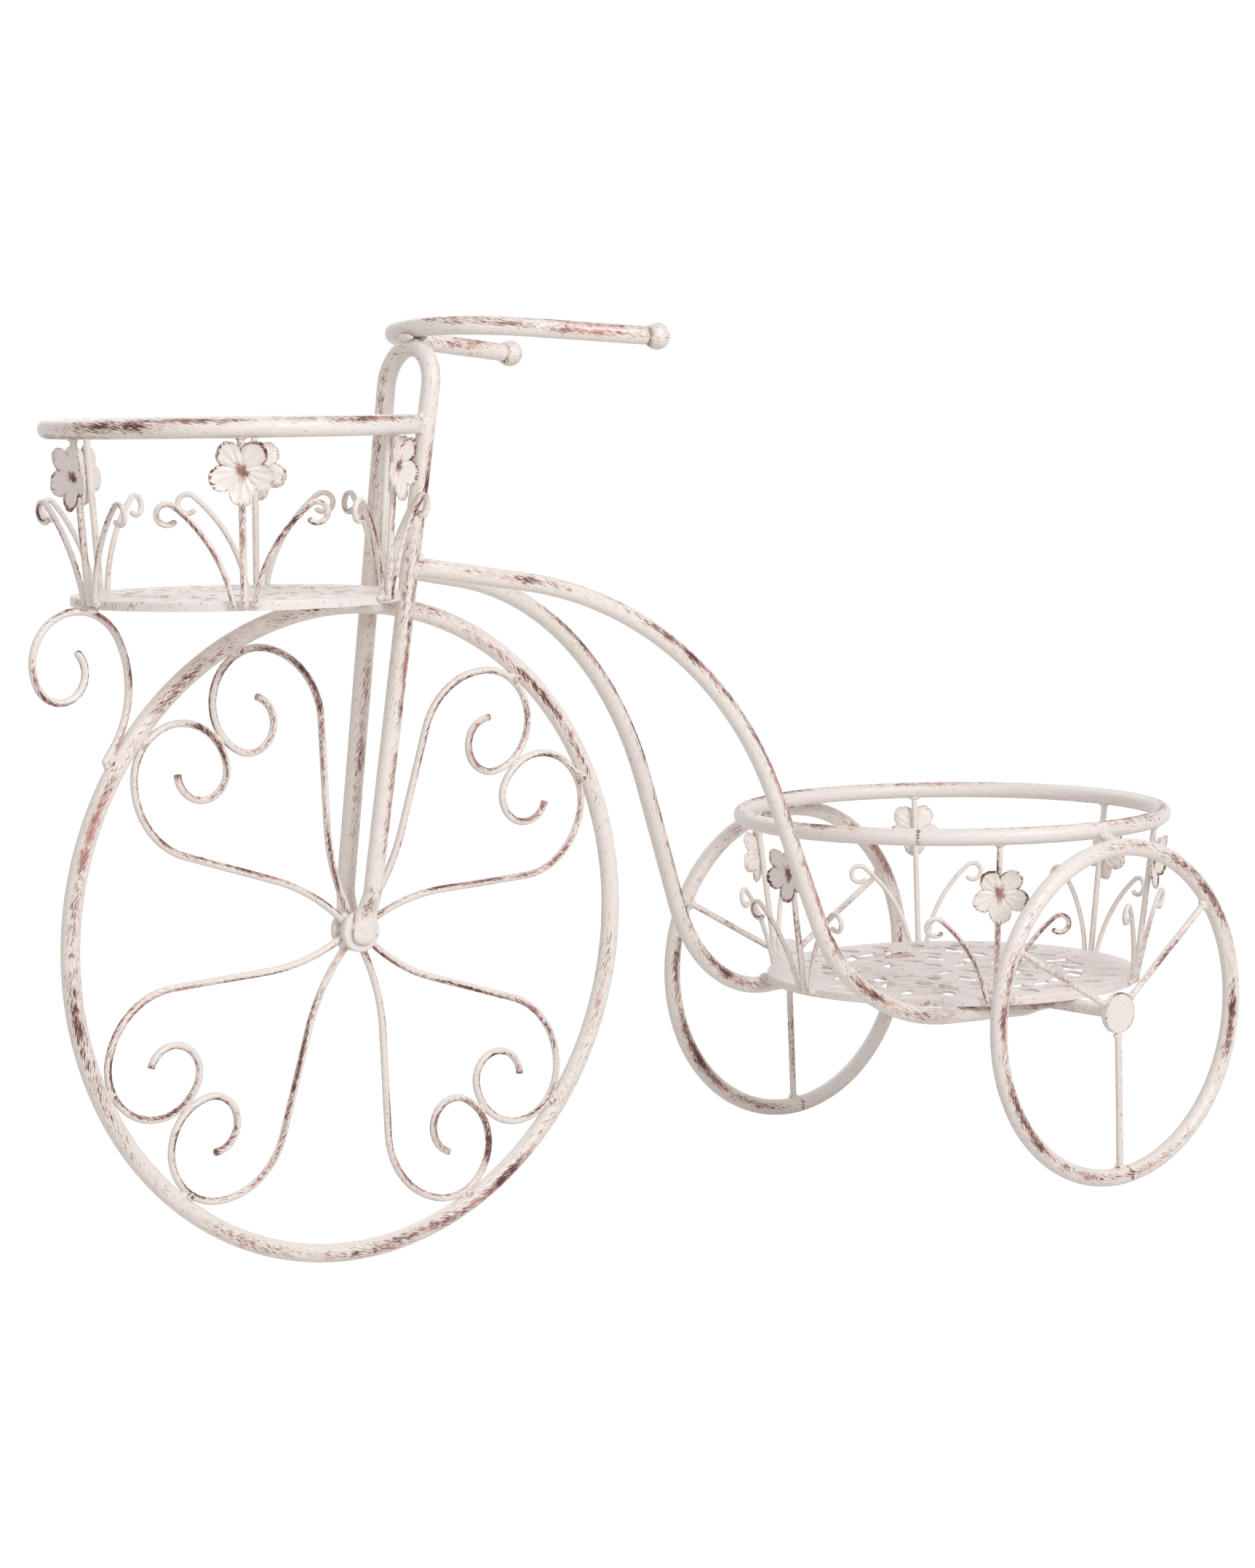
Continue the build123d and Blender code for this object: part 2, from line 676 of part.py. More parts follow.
bracket_path = bent_path(
    wheel_plane,
    (foot_point.X, foot_point.Y),
    leg_bearing + bracket_foot_lap - 90,
    (
        (0, foot_away, -bracket_foot_lap),
        (0, bracket_leg_radius, loop_heading - leg_bearing + 90),
        (0, bracket_loop_radius, bracket_loop_turn),
        (0, bracket_curl_radius, bracket_curl_turn),
    ),
)
with BuildPart() as bracket:
    with BuildSketch(start_plane(bracket_path)):
        Circle(scroll_r)
    sweep(path=bracket_path)
bracket.part.label = "basket_bracket"
export_step(bracket.part, "parts/basket_bracket.step")

# Front links: from the basket's top ring straight back to each fork leg
with BuildPart() as front_links:
    for side in (1, -1):
        leg_point = fork_leg_point(front_ring_height, side)
        ring_x = front_basket_x + sqrt(front_ring_radius**2 - leg_point.Y**2)
        with BuildSketch(Plane(origin=(ring_x, leg_point.Y, front_ring_z), z_dir=(1, 0, 0))):
            Circle(front_link_dia / 2)
        extrude(amount=leg_point.X - ring_x)
    for side in (1, -1):
        with BuildSketch(fork_leg_plane(side)):
            Circle(tube_r + seat_gap)
        extrude(amount=fork_leg_length, mode=Mode.SUBTRACT)
    with Locations((front_basket_x, 0, front_ring_z)):
        Torus(front_ring_radius, tube_r + seat_gap, mode=Mode.SUBTRACT)
front_links.part.label = "front_ring_links"
export_step(front_links.part, "parts/front_ring_links.step")

# Rear links: from the basket's top ring down to the top of each rear hoop
rear_ring_y = sqrt(rear_ring_radius**2 - rear_basket_behind**2)
with BuildPart() as rear_links:
    for side in (1, -1):
        link_start = Vector(rear_axle_x, side * rear_ring_y, rear_ring_z)
        link_end = Vector(rear_axle_x, side * half_track, rear_axle_z + rear_wheel_radius)
        with BuildSketch(Plane(origin=link_start, z_dir=link_end - link_start)):
            Circle(rear_link_dia / 2)
        extrude(amount=(link_end - link_start).length)
        rear_plane = Plane(
            origin=(rear_axle_x, side * half_track, rear_axle_z), x_dir=(1, 0, 0), z_dir=(0, -1, 0)
        )
        with Locations(rear_plane):
            Torus(rear_wheel_radius, tube_r + seat_gap, mode=Mode.SUBTRACT)
    with Locations((rear_basket_x, 0, rear_ring_z)):
        Torus(rear_ring_radius, tube_r + seat_gap, mode=Mode.SUBTRACT)
rear_links.part.label = "rear_ring_links"
export_step(rear_links.part, "parts/rear_ring_links.step")
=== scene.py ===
# %% [markdown]
# # A bicycle planter
# The object is a plant stand in the shape of a three-wheeled cycle, bent from
# steel tube and wire, welded, and painted a warm off-white that has been
# rubbed back to brown. The CAD frame gives every piece its size and place.
# Here each bar is drawn again along the same line, so that a map of "along"
# and "around" can carry the strokes of the brush and the rubbing.

import bpy
import numpy as np
from mathutils import Matrix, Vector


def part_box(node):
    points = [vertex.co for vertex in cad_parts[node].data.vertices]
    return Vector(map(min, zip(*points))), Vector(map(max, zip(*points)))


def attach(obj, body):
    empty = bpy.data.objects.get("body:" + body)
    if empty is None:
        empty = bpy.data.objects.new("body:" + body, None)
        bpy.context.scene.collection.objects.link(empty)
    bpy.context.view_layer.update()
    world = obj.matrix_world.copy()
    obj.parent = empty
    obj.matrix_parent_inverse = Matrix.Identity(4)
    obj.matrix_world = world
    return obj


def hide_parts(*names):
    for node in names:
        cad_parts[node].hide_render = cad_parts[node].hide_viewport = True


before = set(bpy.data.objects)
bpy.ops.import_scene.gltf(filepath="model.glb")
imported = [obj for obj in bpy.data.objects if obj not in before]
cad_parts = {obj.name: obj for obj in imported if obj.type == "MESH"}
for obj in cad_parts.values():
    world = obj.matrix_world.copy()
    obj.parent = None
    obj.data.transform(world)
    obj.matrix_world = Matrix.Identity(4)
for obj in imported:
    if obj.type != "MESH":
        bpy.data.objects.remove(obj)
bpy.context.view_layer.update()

MM = 0.001
print("nodes:", len(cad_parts))


# %% [markdown]
# ## Sizes of the stand
# The same values as in the CAD, in millimetres. Heights of the plates are read
# from the frame, and all other places follow from the two axles. For the paint,
# each basket also holds the point of its ring's butt weld (seam), the marked
# patches of that ring (rubs) and how brown each of its six groups is (rubbed).

# %% Sizes
TUBE = 5.0
WIRE = 2.0
STEM = 1.8
LEAF = 1.5
AXLE = 4.0
GAP = 0.1

front_wheel = 174.0
front_axle = np.array([-189.45, 0.0, front_wheel + TUBE])
rear_wheel = 96.4
wheelbase, half_track = 433.5, 144.7
rear_axle = front_axle + np.array([wheelbase, 0.0, rear_wheel - front_wheel])
basket_ahead, basket_behind = 70.0, 5.8
hub_width = 14.0
plate_edge = 5.0


def plate_bottom(name):
    """Height of a plate's lower edge, from the frame."""
    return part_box(f"{name}_plate")[0].z / MM


baskets = {
    "front_basket": {
        "x": front_axle[0] - basket_ahead,
        "seam": 78,
        "ring": 94.0,
        "plate": 85.0,
        "height": 85.4,
        "bearings": (-4, 50, 112, 180, 240, 299),
        "flowers": (64.5, 61.5, 62.0, 62.0, 64.5, 64.5),
        "rubbed": (0.7, 0.3, 0.3, 0.8, 0.9, 0.8),
        "rubs": (
            (0.80, 36, 15, 42, 1.0),
            (0.88, 40, 52, 30, 0.9),
            (0.04, 46, 50, 34, 0.95),
            (0.16, 26, 30, 42, 0.9),
            (0.45, 50, 150, 34, 0.7),
        ),
    },
    "rear_basket": {
        "x": rear_axle[0] + basket_behind,
        "seam": 325,
        "ring": 127.2,
        "plate": 112.7,
        "height": 95.8,
        "bearings": (-3, 57, 118, 177, 239, 298),
        "flowers": (61.0, 71.0, 65.5, 69.5, 62.5, 71.5),
        "rubbed": (0.4, 0.2, 0.25, 0.8, 1.0, 0.5),
        "rubs": (
            (0.04, 70, 82, 16, 0.95),
            (0.18, 44, 62, 28, 0.95),
            (0.78, 30, 66, 30, 0.8),
            (0.94, 40, 80, 16, 0.8),
            (0.55, 70, 108, 20, 0.85),
            (0.40, 40, 120, 24, 0.8),
        ),
    },
}
for name, basket in baskets.items():
    basket["bottom"] = plate_bottom(name)
    basket["ring_z"] = basket["bottom"] + plate_edge + basket["height"]
    print(name, "plate", round(basket["bottom"], 2), "ring", round(basket["ring_z"], 2))


# %% [markdown]
# ## Lines of bent bar
# A smith bends bar into straight runs and arcs that meet without a kink. A
# line is listed as (straight, radius, turn) and sampled finely enough that the
# arcs look round. Each line lies in one plane, so the plane's normal is a
# steady reference for the bar's section, with no twist to correct.

# %% Path helpers
SAMPLE = 1.6


def unit(angle):
    """Unit vector in the plane at an angle in degrees."""
    return np.array([np.cos(np.radians(angle)), np.sin(np.radians(angle))])


def bent_line(start, heading, bends, sample=SAMPLE):
    """Points and tangents of a chain of runs and arcs in a plane.

    On a run the point is start + t * direction. On an arc it is
    centre - inward * radius, while the heading turns evenly.
    """
    point = np.array(start, float)
    points, tangents = [point[None]], [unit(heading)[None]]
    for straight, radius, turn in bends:
        if straight:
            count = max(2, int(straight / (2 * sample)))
            t = np.linspace(0, straight, count + 1)[1:, None]
            points.append(point + t * unit(heading))
            tangents.append(np.repeat(unit(heading)[None], count, 0))
            point = points[-1][-1]
        if turn:
            side = 90 if turn > 0 else -90
            centre = point + unit(heading + side) * radius
            count = max(6, int(radius * np.radians(abs(turn)) / sample))
            a = np.radians(heading + np.linspace(0, turn, count + 1)[1:])
            inward = a + np.radians(side)
            points.append(centre - np.stack([np.cos(inward), np.sin(inward)], 1) * radius)
            tangents.append(np.stack([np.cos(a), np.sin(a)], 1))
            heading = heading + turn
            point = points[-1][-1]
    return np.concatenate(points), np.concatenate(tangents)


def lift(line, origin, x_dir, y_dir):
    """A line in a plane as points, tangents and the plane's normal in space."""
    points, tangents = line
    x_dir, y_dir = np.array(x_dir, float), np.array(y_dir, float)
    place = np.array(origin, float) + points[:, :1] * x_dir + points[:, 1:] * y_dir
    return place, tangents[:, :1] * x_dir + tangents[:, 1:] * y_dir, np.cross(x_dir, y_dir)


def ring_line(origin, radius, x_dir, y_dir, start, count):
    """A closed circle that starts at an angle, lifted as any line."""
    a = np.radians(start) + np.linspace(0, 2 * np.pi, count, endpoint=False)
    circle = np.stack([np.cos(a), np.sin(a)], 1)
    along = np.stack([-np.sin(a), np.cos(a)], 1)
    return lift((circle * radius, along), origin, x_dir, y_dir)


def straight_line(start, end, normal, sample=SAMPLE):
    """Points from start to end, with a normal that squares the section."""
    start, end = np.array(start, float), np.array(end, float)
    length = np.linalg.norm(end - start)
    count = max(4, int(length / (2 * sample)))
    t = np.linspace(0, 1, count + 1)[:, None]
    along = (end - start) / length
    normal = np.array(normal, float)
    normal = normal - along * (normal @ along)
    normal /= np.linalg.norm(normal)
    return start + t * (end - start), np.repeat(along[None], count + 1, 0), normal


# %% [markdown]
# ## Surfaces from grids
# Every new piece is a grid of points: rows along the piece, columns around it.
# The mesh gets a UV map in metres, along and around, and a value called wear
# that says how much of the paint has been rubbed away at each point. A bar's
# open ends are rounded off by adding a few rows that shrink as they go out.

# %% Mesh helpers
def grid_faces(rows, columns, wrap_rows, offset):
    """Quads of a grid whose columns close on themselves."""
    i = np.arange(rows if wrap_rows else rows - 1)[:, None]
    j = np.arange(columns)[None, :]
    a = i * columns + j
    b = i * columns + (j + 1) % columns
    c = ((i + 1) % rows) * columns + (j + 1) % columns
    d = ((i + 1) % rows) * columns + j
    return np.stack([a, d, c, b], -1).reshape(-1, 4) + offset


def grid_uv(u, v):
    """UV of each quad's corners, in the order of its points, from the grid's lines."""
    u0, u1 = u[:-1, None], u[1:, None]
    v0, v1 = v[None, :-1], v[None, 1:]
    order = ((u0, v0), (u1, v0), (u1, v1), (u0, v1))
    corners = [np.stack(np.broadcast_arrays(a, b), -1) for a, b in order]
    return np.stack(corners, 2).reshape(-1, 2)


def surface(name, grids):
    """One mesh from several closed grids, each with points, u, v, values and wrap.

    A grid that doesn't wrap is closed by a cap on its first and last row.
    """
    vertices, faces, uvs, values, caps, cap_uvs = [], [], [], {}, [], []
    offset = 0
    for grid in grids:
        rows, columns = grid["points"].shape[:2]
        vertices.append(grid["points"].reshape(-1, 3))
        faces.append(grid_faces(rows, columns, grid["wrap"], offset))
        uvs.append(grid_uv(grid["u"], grid["v"]))
        for key, value in grid["values"].items():
            values.setdefault(key, []).append(np.broadcast_to(value, (rows, columns)).ravel())
        if not grid["wrap"]:
            ring = offset + np.arange(columns)
            caps += [ring.tolist(), (ring + (rows - 1) * columns)[::-1].tolist()]
            around = grid["v"][:-1]
            cap_uvs.append(np.stack([np.full(columns, grid["u"][0]), around], 1))
            cap_uvs.append(np.stack([np.full(columns, grid["u"][-1]), around[::-1]], 1))
        offset += rows * columns
    mesh = bpy.data.meshes.new(name)
    quads = np.concatenate(faces).tolist()
    mesh.from_pydata((np.concatenate(vertices) * MM).tolist(), [], quads + caps)
    layer = mesh.uv_layers.new(name="strokes")
    layer.data.foreach_set("uv", (np.concatenate(uvs + cap_uvs) * MM).astype(np.float32).ravel())
    for key, value in values.items():
        attribute = mesh.attributes.new(key, "FLOAT", "POINT")
        attribute.data.foreach_set("value", np.concatenate(value).astype(np.float32))
    mesh.polygons.foreach_set("use_smooth", np.ones(len(mesh.polygons), bool))
    mesh.update()
    piece = bpy.data.objects.new(name, mesh)
    bpy.context.scene.collection.objects.link(piece)
    return piece


# %% Bars
END_ROWS = 5
ROW_CLEARANCE = 0.05


def rounded_ends(u, radius, tips):
    """Lengths along a bar and the share of its radius there.

    Near an end the share is 1 - tip + tip * sin(angle) while the length grows
    by tip * radius * (1 - cos(angle)), which is a quarter round. A tip of 0
    leaves one row, which is a square end.
    """
    far = u[-1]
    first, last = tips
    quarter = np.linspace(0, np.pi / 2, END_ROWS)
    near_turn, far_turn = [quarter if tip else quarter[:1] for tip in tips]
    low = first * radius * (1 - np.cos(near_turn))
    high = far - last * radius * (1 - np.cos(far_turn))
    inner = u[(u > low[-1] + ROW_CLEARANCE) & (u < high[-1] - ROW_CLEARANCE)]
    lengths = np.concatenate([low, inner, high[::-1]])
    shares = np.concatenate(
        [
            1 - first + first * np.sin(near_turn),
            np.ones(len(inner)),
            (1 - last + last * np.sin(far_turn))[::-1],
        ]
    )
    return lengths, shares


def bar(line, radius, columns, wear, tips=(0.5, 0.5), wrap=False, squash=None):
    """A bar along a line: centre + radius * (cos a * side + sin a * normal).

    Side is tangent x normal, so on a ring angle 0 is its outer side, and on
    angle 90 the surface faces along the normal. Squash is a function of the
    length along the bar that gives the factors of side and normal.
    """
    points, tangents, normal = line
    steps = np.linalg.norm(np.diff(points, axis=0), axis=1)
    u = np.concatenate([[0.0], np.cumsum(steps)])
    shares = np.ones(len(u))
    if not wrap:
        lengths, shares = rounded_ends(u, radius, tips)
        points = np.stack([np.interp(lengths, u, points[:, k]) for k in range(3)], 1)
        tangents = np.stack([np.interp(lengths, u, tangents[:, k]) for k in range(3)], 1)
        u = lengths
    side = np.cross(tangents, normal)
    side /= np.linalg.norm(side, axis=1)[:, None]
    a = np.linspace(-np.pi, np.pi, columns, endpoint=False)
    wide, thick = (1.0, 1.0) if squash is None else squash(u)
    size = radius * shares
    across = np.cos(a)[None, :, None] * side[:, None] * (size * wide)[:, None, None]
    over = np.sin(a)[None, :, None] * normal[None, None] * (size * thick)[:, None, None]
    return {
        "points": points[:, None] + across + over,
        "u": np.append(u, u[-1] + steps[0]) if wrap else u,
        "v": np.append(a, np.pi) * radius,
        "values": {"wear": wear(u[:, None], a[None, :])},
        "wrap": wrap,
    }


# %% [markdown]
# ## Wear
# The paint is rubbed away where a cloth or a hand would touch: on the outer
# side of the hoops, along the crests of the bends, and at the ends. Each bar
# gets a few long patches, placed by a seeded draw, plus those that are seen on
# the real piece. A patch is a soft hump along the bar times a soft hump around
# it, and the largest of all patches counts.

# %% Wear helper
FIRST_SHARE = 0.021
BAND_WANDER, BAND_WANDER_RUN = 0.35, 17.0
BAND_LEVEL = 0.78
BAND_SWELLS = ((0.3, 9.0), (0.25, 23.0))
BAND_WIDTH = 0.62


def hump(x, centre, width):
    """Bell curve: exp(-((x - centre) / width) ** 2)."""
    return np.exp(-(((x - centre) / width) ** 2))


def wear_map(seed, length, side, level, patches, marked=(), base=0.02, edge=0.0):
    """Wear along (mm) and around (rad) one bar.

    Side is the angle, in degrees, of the rubbed side. Half as many patches
    again are drawn on the opposite side. Edge is the strength of two opposite
    bands along the bar, which wander by a slow sine and come and go with two
    others. A marked patch is (centre share, half length in mm, angle, angle
    width, strength). On a ring a patch runs on over the start, and on an open
    bar a patch at one end marks both ends.
    """
    random = np.random.default_rng(seed)
    drawn = [
        (
            random.uniform(0, 1),
            length * random.uniform(0.03, 0.12),
            side + random.normal(0, 22),
            random.uniform(22, 55),
            level * random.uniform(0.5, 1.5),
        )
        for patch in range(patches)
    ]
    phase = random.uniform(0, 2 * np.pi, 3)
    behind = [
        (
            (k + random.uniform(0.2, 0.8)) / patches * 2,
            length * random.uniform(0.05, 0.14),
            side + 180 + random.normal(0, 30),
            random.uniform(26, 45),
            level * random.uniform(0.9, 1.7),
        )
        for k in range(patches // 2)
    ]
    places = [(max(p[0], FIRST_SHARE), *p[1:]) for p in drawn + behind] + list(marked)

    def wear(u, a):
        wander = np.radians(side) + BAND_WANDER * np.sin(u / BAND_WANDER_RUN + phase[0])
        turn = np.angle(np.exp(2j * (a - wander))) / 2
        swell = BAND_LEVEL
        for (height, run), start in zip(BAND_SWELLS, phase[1:]):
            swell = swell + height * np.sin(u / run + start)
        total = base + edge * swell * hump(turn, 0, BAND_WIDTH)
        for centre, half, angle, spread, strength in places:
            away = np.abs(u - centre * length)
            away = np.minimum(away, length - away)
            turn = np.angle(np.exp(1j * (a - np.radians(angle))))
            patch = strength * hump(away, 0, half) * hump(turn, 0, np.radians(spread))
            total = np.maximum(total, patch)
        return np.clip(total, 0, 1)

    return wear


# %% [markdown]
# ## The paint
# The stand is powder coated in a warm white, brushed over with a reddish brown
# that is wiped off again, so that it stays in fine slanting strokes. The
# strokes could be drawn as an image. Here a noise that is stretched along the
# bar makes them, and the wear value decides how many of them show. The strokes
# are about 3 mm long and a quarter of a millimetre wide. Where the brown was
# wiped while wet it is rose, elsewhere it dried to a dark maroon.

# %% Material helpers
def linear(text):
    """sRGB hex text as linear red, green, blue and alpha."""
    channels = np.array([int(text[k:k + 2], 16) for k in (1, 3, 5)]) / 255
    low = channels / 12.92
    high = ((channels + 0.055) / 1.055) ** 2.4
    return (*np.where(channels <= 0.04045, low, high).tolist(), 1.0)


def add_node(tree, kind, *values, out=0, named=None, **settings):
    """Add one shader node, fill or link its inputs, and return one output.

    Values are for the inputs in order, with None to skip one. Named ones are
    given by the input's name. A socket is linked, anything else is set.
    """
    node = tree.nodes.new("ShaderNode" + kind)
    for key, value in settings.items():
        setattr(node, key, value)
    given = {key: value for key, value in enumerate(values) if value is not None}
    for key, value in {**given, **(named or {})}.items():
        if isinstance(value, bpy.types.NodeSocket):
            tree.links.new(value, node.inputs[key])
        else:
            node.inputs[key].default_value = value
    return node.outputs[out] if len(node.outputs) else node


def grain(tree, place, size, turn=0.0, detail=3.0, offset=0.0):
    """Noise whose grains have the given size in metres along each axis."""
    moved = (offset, offset, offset)
    turned = add_node(tree, "Mapping", place, named={"Rotation": (0.0, 0.0, turn), "Location": moved})
    count = tuple(1 / (2 * s) for s in size)
    scaled = add_node(tree, "Mapping", turned, named={"Scale": count})
    settings = {"Scale": 1.0, "Detail": detail, "Roughness": 0.55}
    return add_node(tree, "TexNoise", scaled, named=settings)


# %% Paint
STROKE = (0.0030, 0.00026, 0.00026)
FINE_STROKE = (0.0020, 0.00022, 0.00022)
SHEET_STROKE = (0.0035, 0.0004, 0.0016)
FLECK = (0.0012, 0.0009, 0.0009)
SPECK = (0.0012, 0.0012, 0.0012)
BLOTCH = (0.007, 0.007, 0.007)
LUMP = (0.0022, 0.0022, 0.0022)
WORN_PLACE = (0.016, 0.016, 0.016)
ROSE = "#CFA198"
MAROON = "#8F5F58"
GROUND = "#4F2F2C"
ROSE_GROUND = "#A77A71"
WASH = "#DBBDB4"


def ramp(tree, value, start, gain):
    """Value less a start, times a gain, held between 0 and 1."""
    above = add_node(tree, "Math", value, start, operation="SUBTRACT")
    return add_node(tree, "Math", above, gain, operation="MULTIPLY", use_clamp=True)


def mix(tree, factor, under, over):
    """Colour under, covered by colour over as far as the factor says."""
    given = {0: factor, 6: under, 7: over}
    return add_node(tree, "Mix", data_type="RGBA", out=2, named=given)


def brushed_paint(name, cream, stroke=STROKE, slant=0.30, bias=0.0, by_map=True):
    """Warm white paint with brown left in fine strokes where it is worn.

    The level is wear * blotch + bias, plus 3.4 * (strokes - 0.5) and 1.3 *
    (crossing strokes - 0.5). A pink wash starts low, the brown higher and the
    dark ground highest. By map, strokes follow the bar's own map and the wear
    value, otherwise both come from Object coordinates.
    """
    material = bpy.data.materials.new(name)
    material.use_nodes = True
    tree = material.node_tree
    shader = tree.nodes["Principled BSDF"]
    solid = add_node(tree, "TexCoord", out="Object")
    slow = grain(tree, solid, WORN_PLACE, offset=0.3)
    if by_map:
        place = add_node(tree, "UVMap", uv_map="strokes")
        worn = add_node(tree, "Attribute", attribute_name="wear", out="Fac")
    else:
        place = solid
        worn = ramp(tree, slow, 0.50, 2.6)
    blotch = grain(tree, solid, BLOTCH, offset=0.11)
    blotch = add_node(tree, "Math", blotch, 2.4, -0.05, operation="MULTIPLY_ADD")
    amount = add_node(tree, "Math", worn, blotch, bias, operation="MULTIPLY_ADD")
    wide = (stroke[0] * 0.6, stroke[1] * 1.5, stroke[2] * 1.5)
    cross = grain(tree, place, wide, -slant, 3.0, 0.07)
    cross = add_node(tree, "Math", cross, 1.3, -2.35, operation="MULTIPLY_ADD")
    fine = grain(tree, place, stroke, slant, 4.0)
    level = add_node(tree, "Math", fine, 3.4, cross, operation="MULTIPLY_ADD")
    level = add_node(tree, "Math", amount, level, operation="ADD")
    washed = ramp(tree, level, 0.26, 1.5)
    stained = ramp(tree, level, 0.66, 6.0)
    bare = ramp(tree, level, 1.0, 6.0)
    tone = ramp(tree, grain(tree, solid, SPECK, offset=0.2), 0.35, 0.3)
    rosy = ramp(tree, slow, 0.50, 7.0)
    brown = mix(tree, rosy, linear(MAROON), linear(ROSE))
    ground = mix(tree, rosy, linear(GROUND), linear(ROSE_GROUND))
    colour = mix(tree, tone, linear(cream), linear(WASH))
    for factor, strength, over in ((washed, 0.8, linear(WASH)), (stained, 0.9, brown), (bare, 1.0, ground)):
        covered = add_node(tree, "Math", factor, strength, operation="MULTIPLY")
        colour = mix(tree, covered, colour, over)
    tree.links.new(colour, shader.inputs["Base Color"])
    rough = add_node(tree, "Math", stained, 0.2, 0.42, operation="MULTIPLY_ADD")
    tree.links.new(rough, shader.inputs["Roughness"])
    lumps = add_node(tree, "Math", grain(tree, solid, LUMP, detail=2.0), 0.5, operation="MULTIPLY")
    relief = add_node(tree, "Math", stained, -0.25, lumps, operation="MULTIPLY_ADD")
    bump = add_node(tree, "Bump", named={"Height": relief, "Strength": 0.35, "Distance": 0.0006})
    tree.links.new(bump, shader.inputs["Normal"])
    return material


# Tube: sparse strokes of a few millimetres, off the bar's line.
paint = brushed_paint("warm_white_paint_wiped_brown", "#F0EBE6")
# Wire: the same paint in shorter strokes, which read as dark grain.
wire_paint = brushed_paint("warm_white_wire_paint", "#EEE9E3", stroke=FINE_STROKE)
# Petals: fine strokes that run out from the middle.
petal_paint = brushed_paint("warm_white_petal_paint", "#F1ECE7", stroke=FINE_STROKE, slant=0.2)
# Pierced sheet: short streaks in one direction, few and thin.
sheet_paint = brushed_paint(
    "warm_white_sheet_paint", "#EEE8E4", stroke=SHEET_STROKE, bias=-0.04, by_map=False, slant=0.6
)
print("materials:", len(bpy.data.materials))


# %% [markdown]
# ## Fitting a piece to the frame
# Each new surface gets its paint, rides on the one body of this stand and
# hides the CAD nodes that it replaces. One helper does all three.

# %% Fit helper
def fit(piece, slot, material, *nodes):
    """Give a piece its paint, tie it to the body and hide the nodes it replaces."""
    piece.data.materials.append(material)
    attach(piece, "root")
    if nodes:
        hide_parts(*nodes)
    return piece


# %% [markdown]
# ## Front wheel
# One round hoop of tube, butt welded, with eight wire scrolls. It could be a
# torus primitive, but the rubbing needs a map along the hoop, so it is the
# same bar as all others, closed on itself.

# %% Front hoop
WHEEL_AXES = ((1, 0, 0), (0, 0, 1))
rim_line = ring_line(front_axle, front_wheel, *WHEEL_AXES, start=-90, count=560)
rim_wear = wear_map(
    11, 2 * np.pi * front_wheel, side=80, level=0.5, patches=9,
    marked=(
        (0.075, 44, 85, 40, 1.0),
        (0.999, 30, 80, 36, 0.75),
        (0.37, 70, 112, 26, 0.9),
        (0.53, 24, 80, 36, 0.75),
        (0.61, 50, 80, 40, 0.7),
        (0.70, 56, 70, 34, 0.95),
        (0.78, 44, 60, 34, 0.8),
        (0.20, 60, 128, 26, 0.6),
    ),
)
front_rim = surface("front_hoop", [bar(rim_line, TUBE, 24, wrap=True, wear=rim_wear)])
fit(front_rim, "tube_paint", paint, "front_rim")
print("front hoop:", len(front_rim.data.polygons), "faces")


# %% [markdown]
# ## Scrolls of the front wheel
# A scroll is one wire: a long lead out of the hub, a shoulder, a coil that
# touches the hoop and a tighter curl. Four mirrored pairs share one line.

# %% Scrolls
hub_barrel = 8.0
lead_r, shoulder_r, coil_r, curl_r = 110.0, 42.5, 28.0, 15.0
lead_heading, coil_heading = 6.0, -40.0
coil_turn, curl_turn = 167.0, 188.0
first_bearing = 37.2


def scroll_bends():
    """Start and bends of one scroll in its pair's plane."""
    away = front_wheel - TUBE - WIRE - GAP - coil_r
    rise = coil_r + WIRE + GAP
    coil = np.array([np.sqrt(away**2 - rise**2), rise])
    shoulder = coil + unit(coil_heading - 90) * (shoulder_r - coil_r)
    start = np.array([hub_barrel / 2, WIRE + GAP])
    span = shoulder - (start + unit(lead_heading + 90) * lead_r)
    reach = np.hypot(*span)
    radii = lead_r + shoulder_r
    crossing = np.degrees(np.arctan2(span[1], span[0]) + np.arcsin(radii / reach))
    bends = (
        (0, lead_r, crossing - lead_heading),
        (np.sqrt(reach**2 - radii**2), shoulder_r, coil_heading - crossing),
        (0, coil_r, -coil_turn),
        (0, curl_r, -curl_turn),
    )
    return start, bends


scroll_start, bends = scroll_bends()
scroll_flat = bent_line(scroll_start, lead_heading, bends, sample=1.3)
for number in range(8):
    bearing = first_bearing + 90 * (number // 2)
    side = 1 if number % 2 == 0 else -1
    along = np.array([np.cos(np.radians(bearing)), 0, np.sin(np.radians(bearing))])
    across = np.cross([0, -side, 0], along)
    line = lift(scroll_flat, front_axle, along, across)
    length = np.linalg.norm(np.diff(line[0], axis=0), axis=1).sum()
    worn = wear_map(
        40 + number, length, side=50 * side, level=0.8, patches=6, base=0.04, edge=0.85,
        marked=((1.0, 2.5, 0, 400, 0.9), (0.42, 40, 60 * side, 50, 0.85)),
    )
    piece = surface(f"scroll_{number + 1}", [bar(line, WIRE, 14, wear=worn, tips=(0.5, 0.3))])
    fit(piece, "wire_paint", wire_paint, f"wheel_scroll_{number + 1}")
print("scroll length:", round(length, 1), "mm")


# %% [markdown]
# ## Fork
# An upside-down U of tube whose feet are squashed flat and welded on the hub.
# A squashed end is the same bar with one half-width made small and the other
# made large over a short taper.

